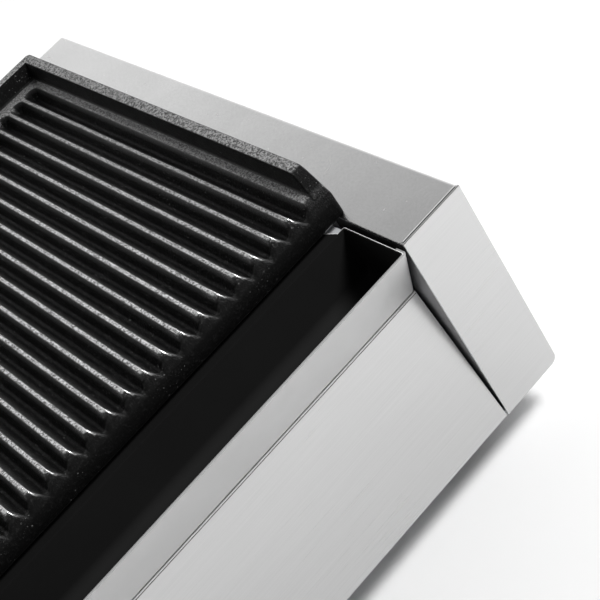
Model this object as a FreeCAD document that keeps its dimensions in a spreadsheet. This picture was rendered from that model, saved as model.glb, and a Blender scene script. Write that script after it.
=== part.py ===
import FreeCAD, Part
import math
import os
import re

import Sketcher
from FreeCAD import Placement, Rotation, Vector

# A countertop electric grill: a ribbed cast-iron plate in a stainless casing, with a drip tray
# that slides out between two front arms and a control panel that leans back below the tray.
# +X is the user's right, +Y the back and +Z up. The origin is the middle of the footprint,
# on the surface that the feet stand on. All lengths are in millimetres, all angles in degrees.

SIZES = {
    # casing
    "casing_width": 396.6,
    "casing_depth": 306.9,
    "body_height": 105.5,
    "foot_height": 18,
    "sheet": 1,
    "arm_width": 31.9,
    "front_y": -153.5,
    "cap_gap": 0.4,
    "corner_radius": 3.6,
    "deck_edge_radius": 1.4,
    "return_width": 14,
    "cap_flange": 12,
    "cheek_recess": 0.6,
    "arm_tip_radius": 1.5,
    # plate
    "crest_setback": 43.4,
    "rib_pitch": 10,
    "rib_count": 31,
    "crest_flat": 0.6,
    "crest_radius": 1.3,
    "root_radius": 1.3,
    "groove_depth": 4.6,
    "crest_rise": 12.85,
    "knee_run": 4.7,
    "knee_drop": 5.2,
    "toe_run": 5.47,
    "guard_rise": 8.65,
    "guard_run": 7.84,
    "guard_top": 5.4,
    "guard_draft": 10,
    "plate_width": 340.3,
    "plate_depth": 238.5,
    "rear_ledge": 5,
    "plate_corner": 2.5,
    "plate_skirt": 8,
    "skirt_depth": 2,
    # deck openings
    "bay_back": 4.2,
    "opening_half": 148,
    "opening_front": 15,
    "opening_rear": 213,
    "opening_corner": 6,
    "gasket_width": 8,
    "gasket_gap": 2,
    # tray
    "tray_half": 165.5,
    "rim_drop": 2.45,
    "tray_height": 27.1,
    "tray_wall": 0.8,
    "fascia": 0.8,
    "fascia_fold": 6,
    "tray_back": 8,
    "tray_foot": 32.4,
    "tray_lip": 44.7,
    "tray_corner": 0.8,
    "lip_reach": 6.5,
    "lip_half": 157.9,
    "lip_root": 160.6,
    "ledge_reach": 8.5,
    "ledge_gap": 0.35,
    "ledge_half": 163.6,
    "bay_wall_y": 1,
    "bay_wall_drop": 48,
    "rail_width": 8,
    "rail_front": 22.5,
    "rail_gap": 0.3,
    # front panel
    "panel_lean": 9.14,
    "panel_rise": 74.75,
    "panel_half": 165.7,
    "panel_hem": 8,
    "hem_radius": 0.6,
    # base, rear
    "pan_inset": 5,
    "pan_front": 0.5,
    "pan_rear": 5,
    "vent_length": 26,
    "vent_width": 4,
    "vent_pitch": 11,
    "vent_count": 12,
    "vent_front": 110,
    "vent_back": 200,
    "vent_rise": 72,
    "pan_screw_inset": 9,
    "pan_screw_first": 75,
    "pan_screw_pitch": 80,
    "panel_screw_inset": 8,
    "panel_screw_first": 16,
    "panel_screw_pitch": 36,
    "rear_inset": 1.5,
    "angle_width": 12,
    # heating
    "element_radius": 3.25,
    "element_bend": 11.9,
    "element_pitch": 24,
    "element_first": 16,
    "element_front": 28,
    "element_rear": 192,
    "element_drop": 206,
    "element_tail": 52,
    "bar_half": 145,
    "bar_width": 18,
    "bar_thick": 3,
    "bar_front": 70,
    "bar_rear": 155,
    "stud_spacing": 124,
    "stud_radius": 3,
    "stud_grip": 2.8,
    "stud_length": 38,
    "nut_radius": 5.77,
    "nut_height": 5,
    "shield_half": 156,
    "shield_front": 6,
    "shield_rear": 218,
    "blanket_thick": 13,
    "blanket_gap": 1,
    # thermostat and knob
    "knob_x": -86,
    "knob_s": 37.5,
    "knob_skirt_radius": 21,
    "knob_skirt": 3.5,
    "knob_radius": 16.5,
    "knob_top_radius": 15,
    "knob_height": 19,
    "knob_stand": 2.2,
    "flute_radius": 2.2,
    "flute_count": 16,
    "shaft_radius": 3,
    "shaft_clearance": 0.05,
    "shaft_out": 16,
    "bushing_radius": 5,
    "bushing_length": 6,
    "dial_radius": 29,
    "dial_thick": 0.8,
    "thermostat_width": 42,
    "thermostat_depth": 28,
    "bulb_radius": 3,
    "bulb_x": 28,
    "bulb_front": 92,
    "bulb_rear": 142,
    "capillary_radius": 0.8,
    "capillary_bend": 7,
    "clip_half": 4,
    # switch and lamps
    "switch_x": -142,
    "switch_s": 37.5,
    "switch_half_width": 7.5,
    "switch_half_height": 14.5,
    "switch_bezel": 2,
    "switch_depth": 20,
    "switch_wall": 1.5,
    "rocker_tilt": 10,
    "rocker_half": 11.4,
    "rocker_gap": 0.4,
    "rocker_dip": 2.6,
    "rocker_tip": 3.9,
    "rocker_root": 6,
    "lamp_x": -38,
    "lamp_high_s": 50,
    "lamp_low_s": 25,
    "lamp_radius": 4,
    "lamp_bezel_radius": 7,
    "lamp_bezel": 2,
    "lamp_depth": 18,
    "lens_radius": 4.6,
    # rear fittings
    "limit_x": -120,
    "fitting_rise": 40,
    "limit_width": 34,
    "limit_depth": 26,
    "reset_radius": 3,
    "reset_clearance": 0.08,
    "reset_out": 4,
    "reset_length": 12,
    "gland_x": 120,
    "gland_radius": 11,
    "gland_bore": 4.2,
    "gland_thread": 8,
    "gland_out": 19,
    "gland_in": 8,
    "gland_flange_radius": 12.6,
    "gland_collar_radius": 8.8,
    "gland_mouth_radius": 7.1,
    "bond_x": 165,
    "bond_radius": 3,
    "bond_out": 14,
    "bond_in": 10,
    "bond_relief": 1,
    "bond_relief_radius": 2.6,
    "block_width": 52,
    "block_depth": 22,
    "block_height": 18,
    "wire_radius": 1.3,
    "wire_bend": 12,
    # feet and fasteners
    "foot_x": 155,
    "foot_front": 29,
    "foot_rear": 289,
    "foot_radius": 15,
    "foot_toe_radius": 13,
    "foot_bore_depth": 11,
    "screw_radius": 2,
    "screw_length": 8,
    "screw_head_radius": 3.8,
    "screw_head": 2.2,
    "foot_screw_radius": 2.5,
    "foot_screw_head": 3,
    "foot_screw_head_radius": 4.8,
    "fit": 0.1,
}

DECK_Z = "(foot_height + body_height)"
CREST_Z = "(foot_height + body_height + crest_rise)"
UNDER_DECK = "(foot_height + body_height - sheet)"
UNDER_PLATE = "(foot_height + body_height + skirt_depth)"
BASE_Z = "foot_height"
PAN_Z = "(foot_height + sheet)"
FLOOR_Z = "(foot_height + 2 * sheet)"
CREST_Y = "(front_y + crest_setback)"
REAR_Y = "(front_y + casing_depth)"
HALF = "(casing_width / 2)"
ARM_X = "(casing_width / 2 - arm_width)"
CHEEK_X = "(casing_width / 2 - arm_width + cheek_recess)"
TRAY_Z = f"({DECK_Z} - rim_drop - tray_height)"
TURNS = {"x": Rotation(Vector(0, 1, 0), 90), "y": Rotation(Vector(1, 0, 0), -90), "z": Rotation()}
SIDES = {"left": -1, "right": 1}

doc = FreeCAD.newDocument("Grill")
dims = doc.addObject("Spreadsheet::Sheet", "dims")


# ---------------------------------------------------------------- sheet and expressions

def fill_sheet():
    """Write every driving dimension to the sheet, each with its alias."""
    for row, (alias, size) in enumerate(SIZES.items(), start=1):
        dims.set(f"A{row}", alias)
        dims.set(f"B{row}", str(size))
        dims.setAlias(f"B{row}", alias)
    doc.recompute()


def refer(word):
    """A reference to the sheet if the word is an alias, or else the word itself."""
    name = word.group()
    return f"dims.{name}" if name in SIZES else name


def bound(text):
    """The expression with each alias written as a reference to the sheet."""
    text = str(text)
    return re.sub(r"[a-z_]+", refer, text)


def number(text):
    """The value of an expression in the sheet's units."""
    return float(dims.evalExpression(bound(text)))


def point(x, y, z):
    return Vector(number(x), number(y), number(z))


def place(thing, x="0", y="0", z="0", turn=None):
    """Bind a placement to the sheet, with an optional fixed turn."""
    if turn is not None:
        thing.Placement = Placement(Vector(), turn)
    for axis, text in zip("xyz", (x, y, z)):
        thing.setExpression(f"Placement.Base.{axis}", bound(text))
    return thing


# ---------------------------------------------------------------- primitives and booleans

def box(name, x, y, z):
    """A box between two bounds on each axis."""
    solid = doc.addObject("Part::Box", name)
    for side, (low, high) in zip(("Length", "Width", "Height"), (x, y, z)):
        solid.setExpression(side, bound(f"({high}) - ({low})"))
    return place(solid, x[0], y[0], z[0])


def rod(name, radius, axis, x, y, z, top_radius=None):
    """A cylinder or cone along one axis, whose own coordinate is a pair of bounds."""
    ends = {"x": x, "y": y, "z": z}
    low, high = ends[axis]
    ends[axis] = low
    if top_radius is None:
        solid = doc.addObject("Part::Cylinder", name)
        solid.setExpression("Radius", bound(radius))
    else:
        solid = doc.addObject("Part::Cone", name)
        solid.setExpression("Radius1", bound(radius))
        solid.setExpression("Radius2", bound(top_radius))
    solid.setExpression("Height", bound(f"({high}) - ({low})"))
    return place(solid, ends["x"], ends["y"], ends["z"], TURNS[axis])


def prism(name, sides_radius, axis, x, y, z):
    """A hexagonal prism along one axis, given its corner radius."""
    ends = {"x": x, "y": y, "z": z}
    low, high = ends[axis]
    ends[axis] = low
    solid = doc.addObject("Part::Prism", name)
    solid.Polygon = 6
    solid.setExpression("Circumradius", bound(sides_radius))
    solid.setExpression("Height", bound(f"({high}) - ({low})"))
    return place(solid, ends["x"], ends["y"], ends["z"], TURNS[axis])


def fuse(name, pieces):
    union = doc.addObject("Part::MultiFuse", name)
    union.Shapes = pieces
    union.Refine = True
    return union


def cut(name, base, tools):
    result = doc.addObject("Part::Cut", name)
    result.Base = base
    result.Tool = tools[0] if len(tools) == 1 else fuse(name + "_tools", tools)
    result.Refine = True
    return result


def group(name, pieces):
    """Separate solids that share one node."""
    bundle = doc.addObject("Part::Compound", name)
    bundle.Links = pieces
    return bundle


def copies(name, template, places, turn=None):
    """One node of several copies of a fastener, each placed through the sheet."""
    links = []
    for count, (x, y, z) in enumerate(places):
        link = doc.addObject("App::Link", f"{name}_{count}")
        link.LinkedObject = template
        links.append(place(link, x, y, z, turn))
    return group(name, links)


# ---------------------------------------------------------------- sketched bodies

def new_body(name):
    return doc.addObject("PartDesign::Body", name)


def new_sketch(body, role, offset="0"):
    """A sketch on one of the body's own origin planes, lifted along the plane's normal."""
    sketch = body.newObject("Sketcher::SketchObject", f"{body.Name}_sketch")
    own_plane = next(item for item in body.Origin.OriginFeatures if item.Role == role)
    sketch.AttachmentSupport = [(own_plane, "")]
    sketch.MapMode = "FlatFace"
    sketch.setExpression("AttachmentOffset.Base.z", bound(offset))
    return sketch


def polygon(sketch, corners):
    """A closed outline with straight sides, each corner bound to the sheet."""
    first = sketch.GeometryCount
    places = [Vector(number(across), number(up), 0) for across, up in corners]
    for start, end in zip(places, places[1:] + places[:1]):
        sketch.addGeometry(Part.LineSegment(start, end), False)
    for index, spot in enumerate(places):
        line = first + index
        following = first + (index + 1) % len(places)
        sketch.addConstraint(Sketcher.Constraint("Coincident", line, 2, following, 1))
        for kind, size, text in zip(("DistanceX", "DistanceY"), (spot.x, spot.y), corners[index]):
            constraint = sketch.addConstraint(Sketcher.Constraint(kind, -1, 1, line, 1, size))
            sketch.setExpression(f"Constraints[{constraint}]", bound(text))
    return sketch


def extrude(body, kind, sketch, length, symmetric=False, backwards=False):
    """A Pad or Pocket of a sketch."""
    feature = body.newObject(f"PartDesign::{kind}", f"{body.Name}_{kind.lower()}")
    feature.Profile = sketch
    feature.SideType = "Symmetric" if symmetric else "One side"
    feature.Reversed = backwards
    feature.setExpression("Length", bound(length))
    sketch.Visibility = False
    return feature


def dress(body, kind, size, chosen):
    """A Fillet or Chamfer on the edges of the body's tip that the test picks."""
    doc.recompute()
    tip = body.Tip
    names = [f"Edge{i}" for i, edge in enumerate(tip.Shape.Edges, start=1) if chosen(edge)]
    feature = body.newObject(f"PartDesign::{kind}", f"{body.Name}_{kind.lower()}")
    feature.Base = (tip, names)
    feature.setExpression("Radius" if kind == "Fillet" else "Size", bound(size))
    return feature


def runs_along(edge, axis):
    """True for a straight edge along the axis."""
    if edge.Curve.TypeId != "Part::GeomLine":
        return False
    return abs(getattr(edge.Curve.Direction, axis)) > 0.999


def edge_at(axis, *spots):
    """A test for straight edges along an axis that pass through any of the given spots."""
    others = [name for name in "xyz" if name != axis]

    def chosen(edge):
        if not runs_along(edge, axis):
            return False
        middle = edge.CenterOfMass
        here = [getattr(middle, name) for name in others]
        return any(math.dist(here, [number(text) for text in spot]) < 0.05 for spot in spots)
    return chosen


# ---------------------------------------------------------------- bent tubes

def bent_wire(points, bend):
    """Straight runs through the points, joined by tangent arcs."""
    edges = []
    start = points[0]
    for corner, after in zip(points[1:-1], points[2:]):
        arriving = (corner - start).normalize()
        leaving = (after - corner).normalize()
        half_turn = arriving.getAngle(leaving) / 2
        reach = bend * math.tan(half_turn)
        inward = (leaving - arriving).normalize()
        arc_start = corner - arriving * reach
        arc_middle = corner + inward * (bend / math.cos(half_turn) - bend)
        arc_end = corner + leaving * reach
        edges.append(Part.LineSegment(start, arc_start).toShape())
        edges.append(Part.Arc(arc_start, arc_middle, arc_end).toShape())
        start = arc_end
    edges.append(Part.LineSegment(start, points[-1]).toShape())
    return Part.Wire(edges)


def tube(points, bend, radius):
    """A round solid along a bent wire."""
    wire = bent_wire(points, bend)
    section = Part.Circle(points[0], points[1] - points[0], radius).toShape()
    return wire.makePipeShell([Part.Wire([section])], True, False)


def feature(name, shape):
    solid = doc.addObject("Part::Feature", name)
    solid.Shape = shape
    return solid


# ---------------------------------------------------------------- shared shapes

def both(half):
    """Bounds that reach the same way to each side of the middle."""
    return f"-({half})", half


def span(side, near, far):
    """Bounds on X of something between two distances from the middle, on one side."""
    if side > 0:
        return near, far
    return f"-({far})", f"-({near})"


def pad_along_y(body, corners, start, end):
    """A solid with an XZ outline, from one Y to another."""
    sketch = polygon(new_sketch(body, "XZ_Plane", f"-({start})"), corners)
    return extrude(body, "Pad", sketch, f"({end}) - ({start})", backwards=True)


def pad_along_z(body, corners, start, end):
    """A solid with an XY outline, from one Z to another."""
    sketch = polygon(new_sketch(body, "XY_Plane", start), corners)
    return extrude(body, "Pad", sketch, f"({end}) - ({start})")


def corners_of(across, up):
    low, high = across
    bottom, top = up
    return [(low, bottom), (high, bottom), (high, top), (low, top)]


def pocket_down(body, corners, top, depth):
    """Cut an XY outline downwards from a height."""
    sketch = polygon(new_sketch(body, "XY_Plane", top), corners)
    return extrude(body, "Pocket", sketch, depth)


def circle(sketch, radius, across, up):
    """A circle whose centre and radius are bound to the sheet."""
    centre = Vector(number(across), number(up), 0)
    ring = sketch.addGeometry(Part.Circle(centre, Vector(0, 0, 1), number(radius)), False)
    for kind, size, text in (("DistanceX", centre.x, across), ("DistanceY", centre.y, up)):
        constraint = sketch.addConstraint(Sketcher.Constraint(kind, -1, 1, ring, 3, size))
        sketch.setExpression(f"Constraints[{constraint}]", bound(text))
    constraint = sketch.addConstraint(Sketcher.Constraint("Radius", ring, number(radius)))
    sketch.setExpression(f"Constraints[{constraint}]", bound(radius))
    return ring


def slot(sketch, across, up, width, length):
    """An upright slot with round ends, centred on a place."""
    x = number(across)
    y = number(up)
    radius = number(width) / 2
    reach = number(length) / 2 - radius
    upright = Vector(0, 0, 1)
    top_circle = Part.Circle(Vector(x, y + reach, 0), upright, radius)
    top_arc = Part.ArcOfCircle(top_circle, 0, math.pi)
    low_circle = Part.Circle(Vector(x, y - reach, 0), upright, radius)
    low_arc = Part.ArcOfCircle(low_circle, math.pi, 2 * math.pi)
    top = sketch.addGeometry(top_arc, False)
    low = sketch.addGeometry(low_arc, False)
    right_line = Part.LineSegment(Vector(x + radius, y - reach, 0), Vector(x + radius, y + reach, 0))
    left_line = Part.LineSegment(Vector(x - radius, y + reach, 0), Vector(x - radius, y - reach, 0))
    right = sketch.addGeometry(right_line, False)
    left = sketch.addGeometry(left_line, False)
    ring = [right, top, left, low]
    for first, second in zip(ring, ring[1:] + ring[:1]):
        sketch.addConstraint(Sketcher.Constraint("Tangent", first, 2, second, 1))
    for arc, sign in ((top, "+"), (low, "-")):
        height = f"({up}) {sign} (({length}) - ({width})) / 2"
        for kind, text in (("DistanceX", across), ("DistanceY", height)):
            constraint = sketch.addConstraint(Sketcher.Constraint(kind, -1, 1, arc, 3, number(text)))
            sketch.setExpression(f"Constraints[{constraint}]", bound(text))
    constraint = sketch.addConstraint(Sketcher.Constraint("Radius", top, radius))
    sketch.setExpression(f"Constraints[{constraint}]", bound(f"({width}) / 2"))


def repeat(body, originals, axis_role, count, pitch):
    """A row of copies of some features along one of the body's own axes."""
    row = body.newObject("PartDesign::LinearPattern", f"{body.Name}_row")
    row.Originals = originals
    axis = next(item for item in body.Origin.OriginFeatures if item.Role == axis_role)
    row.Direction = (axis, [""])
    row.setExpression("Length", bound(f"(({count}) - 1) * ({pitch})"))
    row.setExpression("Occurrences", bound(count))
    body.Tip = row
    return row


def on_panel(thing, x, s, out="0", tilt="0"):
    """Place a piece on the leaning panel: x across, s up the slope, out from its face."""
    thing.Placement = Placement(Vector(), Rotation(Vector(1, 0, 0), 90))
    thing.setExpression("Placement.Rotation.Angle", bound(f"(90 - panel_lean + ({tilt})) * 1 deg"))
    back = f"front_y + ({s}) * sin(panel_lean) - ({out}) * cos(panel_lean)"
    rise = f"{BASE_Z} + ({s}) * cos(panel_lean) + ({out}) * sin(panel_lean)"
    for axis, text in zip("xyz", (x, back, rise)):
        thing.setExpression(f"Placement.Base.{axis}", bound(text))
    return thing


# ---------------------------------------------------------------- casing

def top_casing():
    """Deck, sides and bottom returns in one folded sheet, open at the tray bay and over the heat."""
    body = new_body("top_casing")
    left, right = both(HALF)
    inner_left, inner_right = both(f"{HALF} - sheet")
    return_left, return_right = both(f"{HALF} - return_width")
    outline = [
        (return_left, BASE_Z), (left, BASE_Z), (left, DECK_Z), (right, DECK_Z),
        (right, BASE_Z), (return_right, BASE_Z), (return_right, PAN_Z), (inner_right, PAN_Z),
        (inner_right, UNDER_DECK), (inner_left, UNDER_DECK), (inner_left, PAN_Z), (return_left, PAN_Z),
    ]
    start = "front_y + sheet + cap_gap"
    pad_along_y(body, outline, start, REAR_Y)
    dress(body, "Fillet", "corner_radius", edge_at("y", (left, BASE_Z), (right, BASE_Z)))
    inner_bends = edge_at("y", (inner_left, PAN_Z), (inner_right, PAN_Z))
    dress(body, "Fillet", "corner_radius - sheet", inner_bends)
    dress(body, "Fillet", "deck_edge_radius", edge_at("y", (left, DECK_Z), (right, DECK_Z)))
    bay_edge = f"{CREST_Y} - bay_back"
    arm_left, arm_right = both(ARM_X)
    bay = corners_of((arm_left, arm_right), ("front_y - sheet", bay_edge))
    pocket_down(body, bay, f"{DECK_Z} + sheet", "3 * sheet")
    dress(body, "Fillet", "arm_tip_radius", edge_at("z", (arm_left, start), (arm_right, start)))
    opening = corners_of(both("opening_half"), (f"{CREST_Y} + opening_front", f"{CREST_Y} + opening_rear"))
    pocket_down(body, opening, f"{DECK_Z} + sheet", "3 * sheet")
    dress(body, "Fillet", "opening_corner", edge_at("z", *opening))
    drilled = new_sketch(body, "XY_Plane", f"{PAN_Z} + sheet")
    for x, y in PAN_SCREWS:
        circle(drilled, "screw_radius + fit / 2", x, y)
    extrude(body, "Pocket", drilled, "3 * sheet")
    return body


def front_cap(name, side):
    """The plate that closes the front of an arm, with a flange to weld inside each wall."""
    body = new_body(f"{name}_front_cap")
    back = "front_y + sheet"
    pad_along_y(body, corners_of(span(side, ARM_X, HALF), (BASE_Z, DECK_Z)), "front_y", back)
    outer_corner = span(side, ARM_X, HALF)[1 if side > 0 else 0]
    dress(body, "Fillet", "corner_radius", edge_at("y", (outer_corner, BASE_Z)))
    flange_height = (f"{BASE_Z} + corner_radius + sheet", f"{UNDER_DECK} - 2 * sheet")
    inner = span(side, f"{CHEEK_X} + sheet", f"{CHEEK_X} + 2 * sheet")
    outer = span(side, f"{HALF} - 2 * sheet", f"{HALF} - sheet")
    for flange in (inner, outer):
        pad_along_y(body, corners_of(flange, flange_height), back, f"{back} + cap_flange")
    return body


def arm_cheek(name, side):
    """The inner wall of an arm, with a flange under the deck and one on the base pan."""
    body = new_body(f"{name}_arm_cheek")
    wall, back, flange = CHEEK_X, f"{CHEEK_X} + sheet", f"{CHEEK_X} + return_width"
    profile = [
        (wall, FLOOR_Z), (flange, FLOOR_Z), (flange, f"{FLOOR_Z} + sheet"), (back, f"{FLOOR_Z} + sheet"),
        (back, f"{UNDER_DECK} - sheet"), (flange, f"{UNDER_DECK} - sheet"),
        (flange, UNDER_DECK), (wall, UNDER_DECK),
    ]
    if side < 0:
        profile = [(f"-({x})", z) for x, z in profile]
    pad_along_y(body, profile, "front_y + sheet + pan_front", f"{CREST_Y} + bay_wall_y + sheet")
    return body


def tray_rail(name, side):
    """The angle on an arm's inner wall that carries one end of the tray."""
    body = new_body(f"{name}_tray_rail")
    top = f"{TRAY_Z} - rail_gap"
    wall, inner, tip = CHEEK_X, f"{CHEEK_X} - sheet", f"{CHEEK_X} - rail_width"
    profile = [
        (wall, top), (tip, top), (tip, f"{top} - sheet"), (inner, f"{top} - sheet"),
        (inner, f"{top} - rail_width"), (wall, f"{top} - rail_width"),
    ]
    if side < 0:
        profile = [(f"-({x})", z) for x, z in profile]
    pad_along_y(body, profile, f"{CREST_Y} - rail_front", f"{CREST_Y} + bay_wall_y")
    return body


def tray_bay_wall():
    """The sheet behind the tray that closes off the heated space, with a ledge under the tray's lip."""
    wall_y = f"{CREST_Y} + bay_wall_y"
    top = f"{DECK_Z} - rim_drop - tray_wall - ledge_gap"
    upright = (f"{UNDER_DECK} - bay_wall_drop", UNDER_DECK)
    wall = box("bay_wall_sheet", both(f"{CHEEK_X} - fit"), (wall_y, f"{wall_y} + sheet"), upright)
    level = (f"{top} - sheet", top)
    ledge = box("bay_wall_ledge", both("ledge_half"), (f"{wall_y} - ledge_reach", wall_y), level)
    return fuse("tray_bay_wall", [wall, ledge])


def front_panel():
    """The leaning control panel: one folded sheet with a hem at each edge and the control holes."""
    body = new_body("front_sheet")
    top = f"{BASE_Z} + panel_rise"
    slope = "tan(panel_lean)"
    thick = "sheet / cos(panel_lean)"
    outer_top = f"front_y + panel_rise * {slope}"
    profile = [
        ("front_y", BASE_Z), (outer_top, top), (f"{outer_top} + panel_hem", top),
        (f"{outer_top} + panel_hem", f"{top} - sheet"),
        (f"{outer_top} - sheet * {slope} + {thick}", f"{top} - sheet"),
        (f"front_y + sheet * {slope} + {thick}", PAN_Z),
        ("front_y + panel_hem", PAN_Z), ("front_y + panel_hem", BASE_Z),
    ]
    sketch = polygon(new_sketch(body, "YZ_Plane"), profile)
    extrude(body, "Pad", sketch, "2 * panel_half", symmetric=True)
    dress(body, "Fillet", "hem_radius", edge_at("x", (outer_top, top), ("front_y", BASE_Z)))
    through = ("-4 * sheet", "4 * sheet")
    switch_cut = box("switch_cut", both("switch_half_width + fit"), both("switch_half_height + fit"), through)
    tools = [on_panel(group("switch_hole", [switch_cut]), "switch_x", "switch_s")]
    for name, radius, x in (("knob", "bushing_radius", "knob_x"), ("lamp_high", "lamp_radius", "lamp_x"),
                            ("lamp_low", "lamp_radius", "lamp_x")):
        drill = rod(f"{name}_drill", f"{radius} + fit", "z", "0", "0", through)
        tools.append(on_panel(group(f"{name}_hole", [drill]), x, f"{name}_s"))
    return cut("front_panel", body, tools)


FOOT_PLACES = [(x, y) for y in ("front_y + foot_front", "front_y + foot_rear") for x in ("-foot_x", "foot_x")]
PAN_SCREWS = [(x, f"front_y + pan_screw_first + {row} * pan_screw_pitch") for row in range(3)
              for x in both(f"{HALF} - pan_screw_inset")]


def base_pan():
    """The bottom sheet, with two rows of cooling slots and holes for the feet and its screws."""
    body = new_body("base_pan")
    depth = ("front_y + sheet + pan_front", f"{REAR_Y} - pan_rear")
    pad_along_z(body, corners_of(both(f"{HALF} - pan_inset"), depth), PAN_Z, FLOOR_Z)
    slots = new_sketch(body, "XY_Plane", f"{FLOOR_Z} + sheet")
    first_x = "-vent_pitch * (vent_count - 1) / 2"
    for row_y in ("front_y + vent_front", "front_y + vent_back"):
        slot(slots, first_x, row_y, "vent_width", "vent_length")
    pocket = extrude(body, "Pocket", slots, "3 * sheet")
    repeat(body, [pocket], "X_Axis", "vent_count", "vent_pitch")
    drilled = new_sketch(body, "XY_Plane", f"{FLOOR_Z} + sheet")
    for x, y in FOOT_PLACES:
        circle(drilled, "foot_screw_radius + fit / 2", x, y)
    for x, y in PAN_SCREWS:
        circle(drilled, "screw_radius + fit / 2", x, y)
    extrude(body, "Pocket", drilled, "3 * sheet")
    return body


REAR_FACE = f"({REAR_Y} - rear_inset)"
PANEL_SCREWS = [(x, f"{BASE_Z} + panel_screw_first + {row} * panel_screw_pitch") for row in range(3)
                for x in both(f"{HALF} - panel_screw_inset")]


def rear_panel():
    """The back sheet, with a row of cooling slots and holes for the fittings and its screws."""
    body = new_body("rear_panel")
    width = both(f"{HALF} - sheet - fit")
    height = (f"{PAN_Z} + fit", f"{UNDER_DECK} - fit")
    pad_along_y(body, corners_of(width, height), f"{REAR_FACE} - sheet", REAR_FACE)
    lower = edge_at("y", (width[0], height[0]), (width[1], height[0]))
    dress(body, "Fillet", "corner_radius - sheet / 2", lower)
    upper = edge_at("y", (width[0], height[1]), (width[1], height[1]))
    dress(body, "Fillet", "sheet", upper)
    slots = new_sketch(body, "XZ_Plane", f"-({REAR_FACE} + sheet)")
    slot(slots, "-vent_pitch * (vent_count - 1) / 2", f"{BASE_Z} + vent_rise", "vent_width", "vent_length")
    pocket = extrude(body, "Pocket", slots, "4 * sheet", symmetric=True)
    repeat(body, [pocket], "X_Axis", "vent_count", "vent_pitch")
    drilled = new_sketch(body, "XZ_Plane", f"-({REAR_FACE})")
    for x, z in PANEL_SCREWS:
        circle(drilled, "screw_radius + fit / 2", x, z)
    circle(drilled, "bushing_radius + fit", "limit_x", f"{BASE_Z} + fitting_rise")
    circle(drilled, "gland_thread + fit", "gland_x", f"{BASE_Z} + fitting_rise")
    circle(drilled, "bond_radius + fit", "bond_x", f"{BASE_Z} + fitting_rise")
    extrude(body, "Pocket", drilled, "4 * sheet", symmetric=True)
    return body


def rear_angle(name, side):
    """The upright angle welded in a rear corner, which the rear panel is screwed to."""
    body = new_body(f"rear_angle_{name}")
    wall, inner, tip = f"{HALF} - sheet", f"{HALF} - 2 * sheet", f"{HALF} - sheet - angle_width"
    back = f"{REAR_FACE} - sheet"
    profile = [
        (wall, back), (tip, back), (tip, f"{back} - sheet"), (inner, f"{back} - sheet"),
        (inner, f"{back} - angle_width"), (wall, f"{back} - angle_width"),
    ]
    if side < 0:
        profile = [(f"-({x})", y) for x, y in profile]
    pad_along_z(body, profile, f"{BASE_Z} + 2 * corner_radius", f"{UNDER_DECK} - 2 * sheet")
    drilled = new_sketch(body, "XZ_Plane", f"-({back})")
    for x, z in PANEL_SCREWS:
        if number(x) * side > 0:
            circle(drilled, "screw_radius + fit / 2", x, z)
    extrude(body, "Pocket", drilled, "4 * sheet", symmetric=True)
    return body


# ---------------------------------------------------------------- cooking plate

STUDS = [(x, y) for y in (f"{CREST_Y} + bar_front", f"{CREST_Y} + bar_rear")
         for x in ("-stud_spacing", "0", "stud_spacing")]
PLATE_FRONT = f"({CREST_Y} - toe_run)"
PLATE_REAR = f"({CREST_Y} - toe_run + plate_depth)"


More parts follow.
